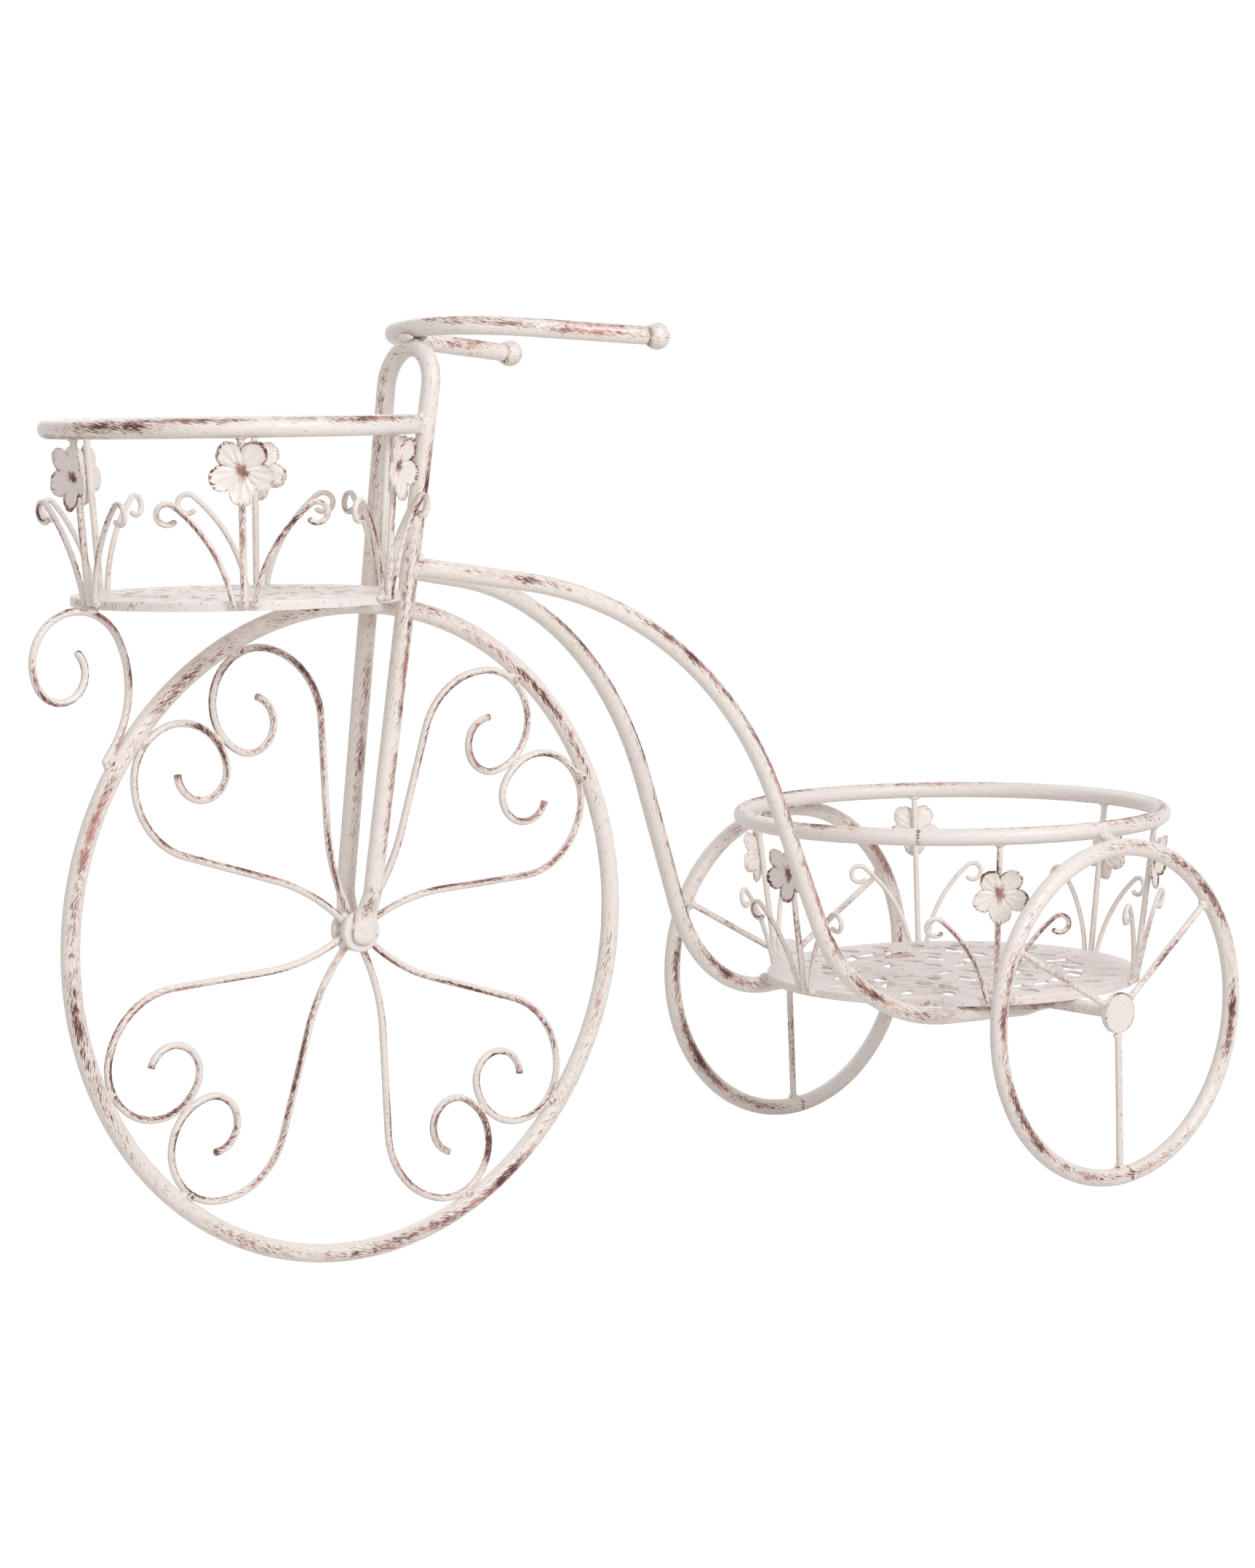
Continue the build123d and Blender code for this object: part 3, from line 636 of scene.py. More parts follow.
# %% Fork
fork_lean = np.radians(8.22)
lean = np.array([np.sin(fork_lean), 0, np.cos(fork_lean)])
fork_foot, fork_arch, fork_height = 12.1, 20.4, 291.96
tab_half, tab_thick, tab_length, taper = 7.0, 4.0, 8.0, 14.0
round_start = tab_length + taper
foot_to_arch = np.hypot(fork_foot, fork_height)
splay = np.arcsin(fork_arch / foot_to_arch) - np.arctan2(fork_foot, fork_height)
leg_length = np.sqrt(foot_to_arch**2 - fork_arch**2)
tab_y = hub_width / 2 + GAP / 2 + tab_thick / 2


def smooth(x):
    """Smooth step from 0 to 1: x * x * (3 - 2 * x), held outside 0 and 1."""
    x = np.clip(x, 0, 1)
    return x * x * (3 - 2 * x)


def leg_point(height, side):
    """Point on a fork leg's middle line at a height above the front axle."""
    up = height / lean[2]
    return front_axle + lean * up + np.array([0, side * (fork_foot + up * np.tan(splay)), 0])


def fork_points():
    """Middle line of the fork in its plane: foot, leg, arch, leg, foot."""
    up = np.linspace(-tab_half, round_start * np.cos(splay), 24)
    leg = fork_foot + up * np.tan(splay)
    out = tab_y + (leg - tab_y) * smooth((up - tab_length) / taper)
    run = leg_length - round_start
    start = (-fork_foot - round_start * np.sin(splay), round_start * np.cos(splay))
    turn = -180 - 2 * np.degrees(splay)
    bends = ((run, fork_arch, turn), (run, 0, 0))
    middle = bent_line(start, 90 + np.degrees(splay), bends)[0]
    near = np.stack([-out, up], 1)[:-1]
    far = np.stack([out, up], 1)[:-1][::-1]
    points = np.concatenate([near, middle, far])
    tangents = np.gradient(points, axis=0)
    return points, tangents / np.linalg.norm(tangents, axis=1)[:, None]


fork_line = lift(fork_points(), front_axle, (0, 1, 0), lean)
fork_length = np.linalg.norm(np.diff(fork_line[0], axis=0), axis=1).sum()


def foot_squash(u):
    """Flat at both feet: thin across the planter, wide along it."""
    near = np.minimum(u, fork_length - u) - tab_half
    flat = 1 - smooth((near - tab_length) / taper)
    return 1 - flat * (1 - tab_thick / 2 / TUBE), 1 + flat * (tab_half / TUBE - 1)


fork_wear = wear_map(
    24, fork_length, side=200, level=0.40, patches=8,
    marked=(
        (0.046, 2.0, 190, 70, 0.7),
        (0.032, 9.0, 205, 44, 0.7),
        (0.12, 34, 162, 28, 0.85),
        (0.24, 50, 165, 30, 0.95),
        (0.37, 36, 158, 28, 0.95),
        (0.30, 40, 225, 26, 0.55),
        (0.46, 14, 120, 60, 0.6),
    ),
)
fork_bar = bar(fork_line, TUBE, 24, wear=fork_wear, tips=(0.95, 0.95), squash=foot_squash)
fit(surface("fork_tube", [fork_bar]), "tube_paint", paint, "fork")
print("fork length:", round(fork_length, 1), "mm")


# %% [markdown]
# ## Handlebar
# A bow of tube that lies on the arch of the fork and opens to the rear. Each
# end is closed by a ball, which is a turned shape: a profile of radii carried
# along its axis.

# %% Handlebar
bow_r, bow_half, grip = 51.3, 77.8, 70.4
bow_tip, bow_droop = np.radians(3.0), np.radians(4.6)
arch_top = front_axle + lean * (fork_height + fork_arch)
bar_apex = arch_top + np.array([0, 0, 2 * TUBE + GAP])
bow_turn = Matrix.Rotation(-bow_tip, 3, "X") @ Matrix.Rotation(bow_droop, 3, "Y")
bow_axes = np.array(bow_turn).T
bow_end = np.array([bow_r * (1 - np.cos(np.radians(bow_half))), bow_r * np.sin(np.radians(bow_half))])
grip_heading = 90 - bow_half
grip_end = bow_end + unit(grip_heading) * grip
bar_bends = ((grip, bow_r, 2 * bow_half), (grip, 0, 0))
bar_flat = bent_line(grip_end, 180 + grip_heading, bar_bends)
bar_line = lift(bar_flat, bar_apex, bow_axes[0], bow_axes[1])
bar_length = np.linalg.norm(np.diff(bar_line[0], axis=0), axis=1).sum()
bar_wear = wear_map(
    31, bar_length, side=60, level=0.6, patches=7, edge=0.25,
    marked=(
        (0.86, 44, -8, 22, 0.85),
        (0.70, 34, 12, 20, 0.85),
        (0.90, 24, 50, 36, 0.85),
        (0.78, 26, 70, 34, 0.75),
        (0.64, 22, 40, 40, 0.7),
        (0.5, 12, -60, 50, 0.7),
        (0.33, 28, 110, 44, 0.7),
        (0.10, 26, 130, 44, 0.7),
    ),
)
handlebar = surface("bent_handlebar", [bar(bar_line, TUBE, 24, wear=bar_wear)])
fit(handlebar, "tube_paint", paint, "handlebar")
print("handlebar length:", round(bar_length, 1), "mm")


# %% Balls of the handlebar
OFF_AXIS = (0.31, 0.2, 0.93)


def turned(origin, axis, lengths, radii, columns):
    """Turned shape: origin + axis * length + radius * (cos a, sin a) around it."""
    axis = np.array(axis, float) / np.linalg.norm(axis)
    side = np.cross(axis, OFF_AXIS)
    side /= np.linalg.norm(side)
    other = np.cross(side, axis)
    a = np.linspace(-np.pi, np.pi, columns, endpoint=False)
    around = np.cos(a)[:, None] * side + np.sin(a)[:, None] * other
    points = np.array(origin) + lengths[:, None, None] * axis + radii[:, None, None] * around
    v = np.append(a, np.pi) * radii.max()
    return {"points": points, "u": lengths, "v": v, "values": {}, "wrap": False}


knob, knob_pole = 7.3, 86.0
knob_rows, knob_columns = 22, 28
knob_seat = np.sqrt(knob**2 - TUBE**2)
for name, end, outward in (
    ("far", bar_line[0][0], -bar_line[1][0]),
    ("near", bar_line[0][-1], bar_line[1][-1]),
):
    a = np.linspace(np.arcsin(-knob_seat / knob), np.radians(knob_pole), knob_rows)
    ball = turned(end, outward, knob_seat + knob * np.sin(a), knob * np.cos(a), knob_columns)
    ball["values"]["wear"] = 0.30 + 0.25 * hump(a, a[0], 0.2)[:, None]
    fit(surface(f"ball_{name}", [ball]), "tube_paint", paint, f"handlebar_knob_{name}")
print("balls:", 2 * knob, "mm across")


# %% [markdown]
# ## Frame tubes
# Two tubes leave the fork, swell over the front wheel, drop and run flat under
# the rear plate to the axle, where each end is squashed flat. Near and far
# are mirror images on two slanting upright planes.

# %% Frame tubes
frame_height, frame_half_spread = 193.9, 93.5
lead_slope, lead_length = 9.2, 69.13
frame_shoulder, drop_slope, frame_foot = 198.7, 69.3, 92.5
UP = np.array([0.0, 0.0, 1.0])


def frame_line(side):
    """Middle line of one frame tube and its length."""
    origin = leg_point(frame_height, side)
    run = np.array([rear_axle[0] - origin[0], side * frame_half_spread - origin[1], 0])
    total = np.linalg.norm(run)
    along = run / total
    bottom = baskets["rear_basket"]["bottom"] - TUBE - GAP
    lead, drop = np.radians(lead_slope), np.radians(drop_slope)
    fall = origin[2] - bottom
    fall -= lead_length * np.sin(lead)
    fall -= frame_shoulder * (np.cos(lead) - np.cos(drop))
    fall -= frame_foot * (1 - np.cos(drop))
    drop_length = fall / np.sin(drop)
    bent = lead_length * np.cos(lead) + frame_shoulder * (np.sin(drop) - np.sin(lead))
    bent += drop_length * np.cos(drop) + frame_foot * np.sin(drop)
    bends = (
        (lead_length, frame_shoulder, lead_slope - drop_slope),
        (drop_length, frame_foot, drop_slope),
        (total - bent - AXLE - GAP, 0, 0),
    )
    line = lift(bent_line((0, 0), -lead_slope, bends), origin, along, UP)
    return line, np.linalg.norm(np.diff(line[0], axis=0), axis=1).sum()


def end_squash(length):
    """Flat at the far end only: thin upwards, wide sideways."""

    def squash(u):
        flat = 1 - smooth((length - u - tab_length + AXLE) / taper)
        return 1 - flat * (1 - tab_thick / 2 / TUBE), 1 + flat * (tab_half / TUBE - 1)

    return squash


for name, side, seed in (("near", -1, 51), ("far", 1, 52)):
    line, length = frame_line(side)
    top = 125
    worn = wear_map(
        seed, length, side=top, level=0.5, patches=7,
        marked=(
            (0.12, 45, top - 20, 30, 0.7),
            (0.33, 50, top - 10, 32, 0.95),
            (0.46, 60, top, 30, 1.0),
            (0.62, 70, top - 5, 34, 0.95),
            (0.78, 50, top - 30, 46, 0.8),
            (0.97, 14, top, 90, 0.6),
        ),
    )
    tube = bar(line, TUBE, 24, wear=worn, tips=(0.2, 0.6), squash=end_squash(length))
    fit(surface(f"frame_bar_{name}", [tube]), "tube_paint", paint, f"frame_tube_{name}")
print("frame tube length:", round(length, 1), "mm")


# %% [markdown]
# ## Rear wheels
# Each is a smaller hoop with a disc for a hub and three spokes of wire. The
# axle is a rod between the two discs.

# %% Rear wheels
spoke_bearings = {"near": (-89, 38, 151), "far": (-88, 31, 152)}
spoke_wear = {"near": (0.3, 0.85, 0.6), "far": (0.9, 0.5, 0.45)}
hub_r, spoke_sink = 12.0, 0.4
hoop_points, hoop_seam = 320, 315
for name, side, seed in (("near", -1, 61), ("far", 1, 71)):
    middle = rear_axle + np.array([0, side * half_track, 0])
    line = ring_line(middle, rear_wheel, *WHEEL_AXES, start=-80, count=hoop_points)
    worn = wear_map(
        seed, 2 * np.pi * rear_wheel, side=90, level=0.5, patches=6,
        marked=(
            (0.82, 50, 88, 36, 1.0),
            (0.70, 44, 82, 36, 0.85),
            (0.20, 34, 124, 30, 1.0),
            (0.34, 50, 90, 38, 0.95),
            (0.46, 34, 70, 30, 0.6),
            (0.92, 34, 95, 36, 0.7),
            (hoop_seam / hoop_points, 0.8, 90, 120, 0.85),
        ),
    )
    hoop = surface(f"rear_hoop_{name}", [bar(line, TUBE, 22, wrap=True, wear=worn)])
    fit(hoop, "tube_paint", paint, f"rear_rim_{name}")
    bars = []
    for number, bearing in enumerate(spoke_bearings[name]):
        outward = np.array([np.cos(np.radians(bearing)), 0, np.sin(np.radians(bearing))])
        at_hub = middle + outward * (hub_r - spoke_sink)
        at_hoop = middle + outward * (rear_wheel - TUBE + spoke_sink)
        run = straight_line(at_hub, at_hoop, (0, -1, 0))
        length = rear_wheel - TUBE - hub_r
        strength = spoke_wear[name][number]
        worn = wear_map(
            seed + number + 1, length, side=130, level=0.4, patches=3, base=0.08, edge=0.4,
            marked=((0.5, length * 0.3, 90, 80, strength), (0.45, length * 0.25, -60, 80, strength)),
        )
        bars.append(bar(run, WIRE, 14, wear=worn, tips=(0, 0)))
    fit(surface(f"spokes_{name}", bars), "wire_paint", wire_paint, f"rear_spokes_{name}")
print("rear wheels:", round(2 * (rear_wheel + TUBE), 1), "mm across")


# %% Hub discs
hub_thick, hub_round = 4.0, 0.5
face_rows, face_inset, hub_columns, brown_line = 8, 0.3, 48, 0.55


def disc(middle, side, seed):
    """Hub disc: a turned shape of radius R and half thickness h with rounded edges.

    The map's first value is the length along the profile, so that strokes
    also cross the flat faces. A thin brown line follows the outer face's edge.
    """
    random = np.random.default_rng(seed)
    half, face_r = hub_thick / 2, hub_r - hub_round
    bend = np.linspace(0, np.pi / 2, END_ROWS)
    flat = np.linspace(face_inset, face_r - face_inset, face_rows)
    radii = np.concatenate([flat, face_r + hub_round * np.sin(bend)])
    lengths = np.concatenate([np.full(face_rows, -half), -half + hub_round * (1 - np.cos(bend))])
    radii = np.concatenate([radii, radii[::-1]])
    lengths = np.concatenate([lengths, -lengths[::-1]])
    grid = turned(middle, (0, side, 0), lengths, radii, hub_columns)
    steps = np.hypot(np.diff(lengths), np.diff(radii))
    grid["u"] = np.concatenate([[0.0], np.cumsum(steps)])
    side_rows = slice(face_rows, -face_rows)
    corner = np.interp(half - hub_round, lengths[side_rows], grid["u"][side_rows])
    a = grid["v"][None, :-1] / hub_r
    phase = random.uniform(0, 2 * np.pi, 2)
    uneven = np.clip(0.6 + 0.4 * np.sin(a + phase[0]) + 0.3 * np.sin(3 * a + phase[1]), 0.2, 1)
    grid["values"]["wear"] = 0.03 + 1.2 * uneven * hump(grid["u"][:, None], corner + hub_round, brown_line)
    return grid


for name, side, seed in (("near", -1, 64), ("far", 1, 74)):
    middle = rear_axle + np.array([0, side * half_track, 0])
    fit(surface(f"hub_disc_{name}", [disc(middle, side, seed)]), "tube_paint", paint, f"rear_hub_{name}")
print("hub discs:", 2 * hub_r, "mm across")


# %% Axle
axle_half = half_track - hub_thick / 2 - GAP
run = straight_line(rear_axle - [0, axle_half, 0], rear_axle + [0, axle_half, 0], UP, sample=2.5)
worn = wear_map(81, 2 * axle_half, side=60, level=0.6, patches=8, base=0.08, edge=0.3)
fit(surface("axle_rod", [bar(run, AXLE, 18, wear=worn, tips=(0, 0))]), "tube_paint", paint, "rear_axle")
print("axle length:", round(2 * axle_half, 1), "mm")


# %% [markdown]
# ## Flowers
# A flower is pressed from thin sheet: five round petals that meet in notches,
# dished outwards, with pressed grooves that fan over each petal. Its outline
# in polar form is the far side of the petal's circle, d cos f + sqrt(R^2 -
# d^2 sin^2 f), where f is the angle from the petal's middle. A paint brush
# leaves brown on the rim and a scribble in the middle.

# %% Flower helper
flower_r, petal_r, petals = 17.0, 6.7, 5
dish, flower_sheet = 2.4, 1.0
stem_lift = 2.0


def flower_grid(origin, right, up, out, seed):
    """Closed grid of one flower, front from the middle to the rim and back again.

    Height is the dish, r^2 * depth / R^2, plus a cup that lifts each petal's
    rim, less a groove between petals and a fan of shallow pressed lines.
    """
    random = np.random.default_rng(seed)
    columns, half = 120, 14
    a = np.linspace(-np.pi, np.pi, columns, endpoint=False)
    petal = 2 * np.pi / petals
    from_middle = (a + petal / 2) % petal - petal / 2
    d = flower_r - petal_r
    rim = d * np.cos(from_middle) + np.sqrt(petal_r**2 - (d * np.sin(from_middle)) ** 2)
    ripple = 1 + 0.012 * np.sin(11 * a + random.uniform(0, 6)) + 0.008 * np.sin(23 * a)
    t = np.linspace(0.03, 1, half)[:, None]
    r = t * rim[None] * ripple[None]
    share = from_middle / (petal / 2)
    height = dish * (r / flower_r) ** 2
    height = height + 0.9 * t**8 - 1.3 * hump(np.abs(share), 1, 0.2)[None] * t * (1 - t**6)
    fan = np.cos(share * np.pi * 3)[None] * hump(t, 0.62, 0.28) * (1 - np.abs(share)[None])
    height = height + 0.35 * fan - 0.7 * hump(t, 0.0, 0.25) + 1.0 * hump(t, 0.0, 0.1)
    front = np.stack([r * np.cos(a), r * np.sin(a), height], -1)
    back = front[::-1] * [0.985, 0.985, 1.0] - [0, 0, flower_sheet]
    edge = (front[-1:] + back[:1]) / 2 * [1.012, 1.012, 1.0]
    local = np.concatenate([front, edge, back])
    points = origin + local[..., :1] * right + local[..., 1:2] * up + local[..., 2:] * out
    turn = random.uniform(0, 6, 3)
    uneven = 0.62 + 0.45 * np.sin(a + turn[0]) + 0.3 * np.sin(3 * a + turn[1])
    line = 1.3 * hump(t, 0.96, 0.05) * np.clip(uneven, 0.45, 1)
    scribble = 1.05 * hump(t, 0.08, 0.18 + 0.06 * np.sin(2 * a + turn[2]))
    vein = 0.8 * hump(np.abs(share), 1, 0.08)[None] * hump(t, 0.88, 0.18) * np.clip(uneven, 0.2, 1)
    wear = np.clip(np.maximum(np.maximum(line, scribble), vein) + 0.03, 0, 1)
    wear = np.concatenate([wear, 0.7 * np.clip(uneven, 0.3, 1)[None], np.clip(wear[::-1], 0.05, 0.4)])
    u = np.concatenate([t[:, 0], [1.05], 1.1 + t[:, 0]]) * flower_r
    return {
        "points": points, "u": u, "v": np.append(a, np.pi) * petal_r, "values": {"wear": wear}, "wrap": False
    }


# %% [markdown]
# ## Baskets
# Each basket is a top ring of tube, a pierced floor plate and six groups of a
# stem, a flower and two curled leaves between them. The plate keeps its CAD
# shape, with the holes stamped through it. The rest is drawn along its lines.

# %% Baskets
leaf_foot, leaf_blade, leaf_heading, leaf_turn = 5.0, 82.0, 78.0, 38.0
leaf_curl, curl_round = 5.2, 275.0
leaf_bends = ((plate_edge, leaf_blade, -leaf_turn), (0, leaf_curl, -curl_round))
leaf_flat = bent_line((leaf_foot, stem_lift), leaf_heading, leaf_bends, sample=0.9)
leaf_length = np.linalg.norm(np.diff(leaf_flat[0], axis=0), axis=1).sum()


def group_frame(basket, bearing, wire):
    """Foot, sideways, up and outward of one flower group."""
    angle = np.radians(bearing)
    outward = np.array([np.cos(angle), np.sin(angle), 0])
    sideways = np.array([-np.sin(angle), np.cos(angle), 0])
    middle = np.array([basket["x"], 0, 0])
    foot = middle + outward * (basket["plate"] + wire + GAP) + UP * basket["bottom"]
    top = middle + outward * basket["ring"] + UP * basket["ring_z"]
    up = (top - foot) / np.linalg.norm(top - foot)
    return foot, sideways, up, np.cross(sideways, up)


ring_points, stem_sink = 380, 0.6
for key, basket in baskets.items():
    seed = 100 if key == "front_basket" else 200
    middle = np.array([basket["x"], 0, basket["ring_z"]])
    line = ring_line(middle, basket["ring"], (1, 0, 0), (0, 1, 0), start=-90, count=ring_points)
    worn = wear_map(
        seed, 2 * np.pi * basket["ring"], side=75, level=0.5, patches=7,
        marked=(*basket["rubs"], (basket["seam"] / ring_points, 0.8, 0, 150, 0.8)),
    )
    ring = bar(line, TUBE, 22, wrap=True, wear=worn)
    fit(surface(f"{key}_ring", [ring]), "tube_paint", paint, f"{key}_top_ring")
    leaves = []
    groups = zip(basket["bearings"], basket["flowers"], basket["rubbed"])
    for number, (bearing, flower_height, rub) in enumerate(groups):
        foot, sideways, up, out = group_frame(basket, bearing, STEM)
        slant = up[2]
        stem_top = foot + up * (basket["ring_z"] - basket["bottom"] - TUBE + stem_sink) / slant
        run = straight_line(foot + up * stem_lift / slant, stem_top, out)
        length = np.linalg.norm(stem_top - foot)
        below = (plate_edge + flower_height - flower_r) / slant / length
        worn = wear_map(
            seed + 10 + number, length, side=125, level=0.5 * rub, patches=4, edge=0.8 * rub,
            marked=(
                (below * 0.72, length * 0.16, 90, 70, rub),
                (below * 0.5, length * 0.3, -60, 60, rub),
            ),
        )
        stem = surface(f"{key}_stalk_{number + 1}", [bar(run, STEM, 14, wear=worn, tips=(0.4, 0))])
        fit(stem, "wire_paint", wire_paint, f"{key}_stem_{number + 1}")
        centre = foot + up * (plate_edge + flower_height) / slant + out * (STEM + GAP + flower_sheet)
        grid = flower_grid(centre, -up, sideways, out, seed + number)
        flower = surface(f"{key}_blossom_{number + 1}", [grid])
        fit(flower, "flower_paint", petal_paint, f"{key}_flower_{number + 1}")
        foot, sideways, up, out = group_frame(basket, bearing, LEAF)
        for side in (1, -1):
            line = lift(leaf_flat, foot, sideways * side, up)
            worn = wear_map(
                seed + 30 + 2 * number + side, leaf_length, side=90 * side + 40, level=0.8 * rub,
                patches=3, edge=1.05 * rub,
                marked=(
                    (1.0, 2.0, 0, 400, 0.9 * rub),
                    (0.5, leaf_length * 0.4, 75 * side, 55, rub**2),
                ),
            )
            leaves.append(bar(line, LEAF, 12, wear=worn, tips=(0.4, 0.8)))
    fit(surface(f"{key}_curled_leaves", leaves), "wire_paint", wire_paint, f"{key}_leaves")
print("leaf length:", round(leaf_length, 1), "mm")


# %% [markdown]
# ## Bracket and links
# A curled wire fills the corner between the front wheel and the front plate.
# Short stubs of rod tie the front ring to the fork's legs, and a web on each
# side ties the rear ring to a rear hoop. Each is a straight bar with square
# ends that stop a little short of the middle lines it joins.

# %% Bracket
loop_r, loop_ahead, bracket_leg, bracket_curl, foot_lap = 26.0, 9.6, 55.0, 14.4, 2.7
loop_turn, bracket_curl_turn = 180.0, 203.0


def bracket_line():
    """Line of the bracket in the plane of the front wheel."""
    reach = loop_r + WIRE + GAP
    from_axle = basket_ahead + baskets["front_basket"]["plate"] + loop_ahead
    level = baskets["front_basket"]["bottom"] - front_axle[2]
    loop = np.array([-from_axle, level - np.sqrt(reach**2 - loop_ahead**2)])
    foot_away = front_wheel + TUBE + WIRE + GAP
    leg_away = foot_away + bracket_leg
    away = np.hypot(*loop)
    cosine = (away**2 + leg_away**2 - (bracket_leg - loop_r) ** 2) / (2 * away * leg_away)
    bearing = np.degrees(np.arctan2(loop[1], loop[0]) + np.arccos(cosine))
    toward = loop - unit(bearing) * leg_away
    heading = np.degrees(np.arctan2(toward[1], toward[0])) + 90
    bends = (
        (0, foot_away, -foot_lap),
        (0, bracket_leg, heading - bearing + 90),
        (0, loop_r, loop_turn),
        (0, bracket_curl, bracket_curl_turn),
    )
    start = unit(bearing + foot_lap) * foot_away
    return lift(bent_line(start, bearing + foot_lap - 90, bends, sample=1.3), front_axle, *WHEEL_AXES)


line = bracket_line()
length = np.linalg.norm(np.diff(line[0], axis=0), axis=1).sum()
worn = wear_map(91, length, side=50, level=0.8, patches=9, base=0.06, edge=0.85)
bracket = surface("curled_bracket", [bar(line, WIRE, 14, wear=worn, tips=(0.5, 0.9))])
fit(bracket, "wire_paint", wire_paint, "basket_bracket")
bracket_foot = line[0][0]
print("bracket length:", round(length, 1), "mm")


# %% Links
front, rear = baskets["front_basket"], baskets["rear_basket"]
stub_r, stub_short = 4.5, 2.0
web_r, web_short, web_lift = 3.5, 1.5, 1.0
web_normal = UP + [0.5, 0, 0]
link_wear = wear_map(92, 30.0, side=90, level=0.5, patches=3, base=0.2)
stubs = []
for side in (1, -1):
    leg = leg_point(front["ring_z"] - front_axle[2], side)
    ring_x = front["x"] + np.sqrt(front["ring"] ** 2 - leg[1] ** 2)
    start, end = np.array([ring_x + stub_short, leg[1], leg[2]]), leg - [stub_short, 0, 0]
    run = straight_line(start, end, UP, sample=0.8)
    stubs.append(bar(run, stub_r, 18, wear=link_wear, tips=(0, 0)))
fit(surface("front_stubs", stubs), "tube_paint", paint, "front_ring_links")
webs = []
for side in (1, -1):
    ring_y = np.sqrt(rear["ring"] ** 2 - (rear["x"] - rear_axle[0]) ** 2)
    start = np.array([rear_axle[0], side * (ring_y + web_short), rear["ring_z"]])
    end = rear_axle + [0, side * (half_track - web_short), rear_wheel + web_lift]
    run = straight_line(start, end, web_normal, sample=0.8)
    webs.append(bar(run, web_r, 18, wear=link_wear, tips=(0, 0)))
fit(surface("rear_stubs", webs), "tube_paint", paint, "rear_ring_links")
print("links:", len(stubs) + len(webs))


# %% [markdown]
# ## Weld beads
# The smith left a small lump of weld at each contact, painted over with the
# rest. A bead is a ball whose radius wanders by a sum of a few sines, pressed
# flat along one axis. More than a hundred stay cheap with 14 columns each.

# %% Weld beads
BEAD_COLUMNS, BEAD_ROWS = 14, 11
# Half length, half width and half height of each kind of bead.
BEADS = {
    "coil": (5.0, 2.7, 2.6),
    "coil nub": (2.3, 2.3, 2.0),
    "pair": (3.4, 1.9, 1.7),
    "hub": (3.2, 3.4, 2.6),
    "bracket foot": (4.6, 2.6, 2.9),
    "bracket nub": (2.1, 2.1, 1.8),
    "plate lip": (3.4, 2.4, 3.6),
    "wheel top": (6.0, 2.2, 4.6),
    "stem foot": (3.0, 1.9, 2.4),
    "leaf foot": (2.4, 1.8, 2.0),
    "stem top": (3.2, 2.6, 1.6),
    "frame joint": (2.4, 2.0, 1.7),
    "stub joint": (2.2, 2.0, 1.6),
    "fork foot": (2.2, 1.3, 1.0),
    "crossing": (5.5, 2.4, 3.6),
    "hoop top": (4.6, 2.4, 3.2),
    "hoop web": (4.2, 2.6, 3.0),
    "spoke foot": (2.4, 2.6, 2.1),
    "spoke tip": (2.2, 3.6, 2.9),
    "arch": (2.0, 6.5, 2.2),
}


def bead(centre, kind, seed, along=(1.0, 0.0, 0.0), out=(0.0, -1.0, 0.0), dot=0.0):
    """Lumpy ball: radii * (1 + wander) along three square axes.

    The radii of its kind are its half length along, half width across and
    half height outward. Dot is the strength of a dark pinhole on its outward
    end.
    """
    radii = BEADS[kind]
    random = np.random.default_rng(seed)
    along = np.array(along, float) / np.linalg.norm(along)
    out = np.array(out, float)
    out = out - along * (out @ along)
    out /= np.linalg.norm(out)
    third = np.cross(along, out)
    a = np.linspace(-np.pi, np.pi, BEAD_COLUMNS, endpoint=False)[None, :]
    t = np.linspace(np.radians(-82), np.radians(82), BEAD_ROWS)[:, None]
    phase = random.uniform(0, 2 * np.pi, 4)
    wander = 0.10 * np.sin(2 * a + phase[0]) * np.cos(t) + 0.08 * np.sin(3 * a + 2 * t + phase[1])
    wander = wander + 0.06 * np.sin(4 * t + phase[2])
    size = 1 + wander * np.cos(t)
    local = [np.cos(t) * np.cos(a) * size, np.cos(t) * np.sin(a) * size, np.sin(t) * size]
    points = np.array(centre, float) + sum(
        (part * radius)[..., None] * axis for part, radius, axis in zip(local, radii, (along, third, out))
    )
    spot = hump(t, random.uniform(0.2, 1.2), 0.35) * hump(np.angle(np.exp(1j * (a - phase[3]))), 0, 0.6)
    return {
        "points": points,
        "u": (t[:, 0] + 2) * radii[0],
        "v": np.append(a[0], np.pi) * radii[0],
        "values": {"wear": np.clip(0.12 + 0.8 * spot + dot * hump(t, 1.43, 0.4), 0, 1)},
        "wrap": False,
    }


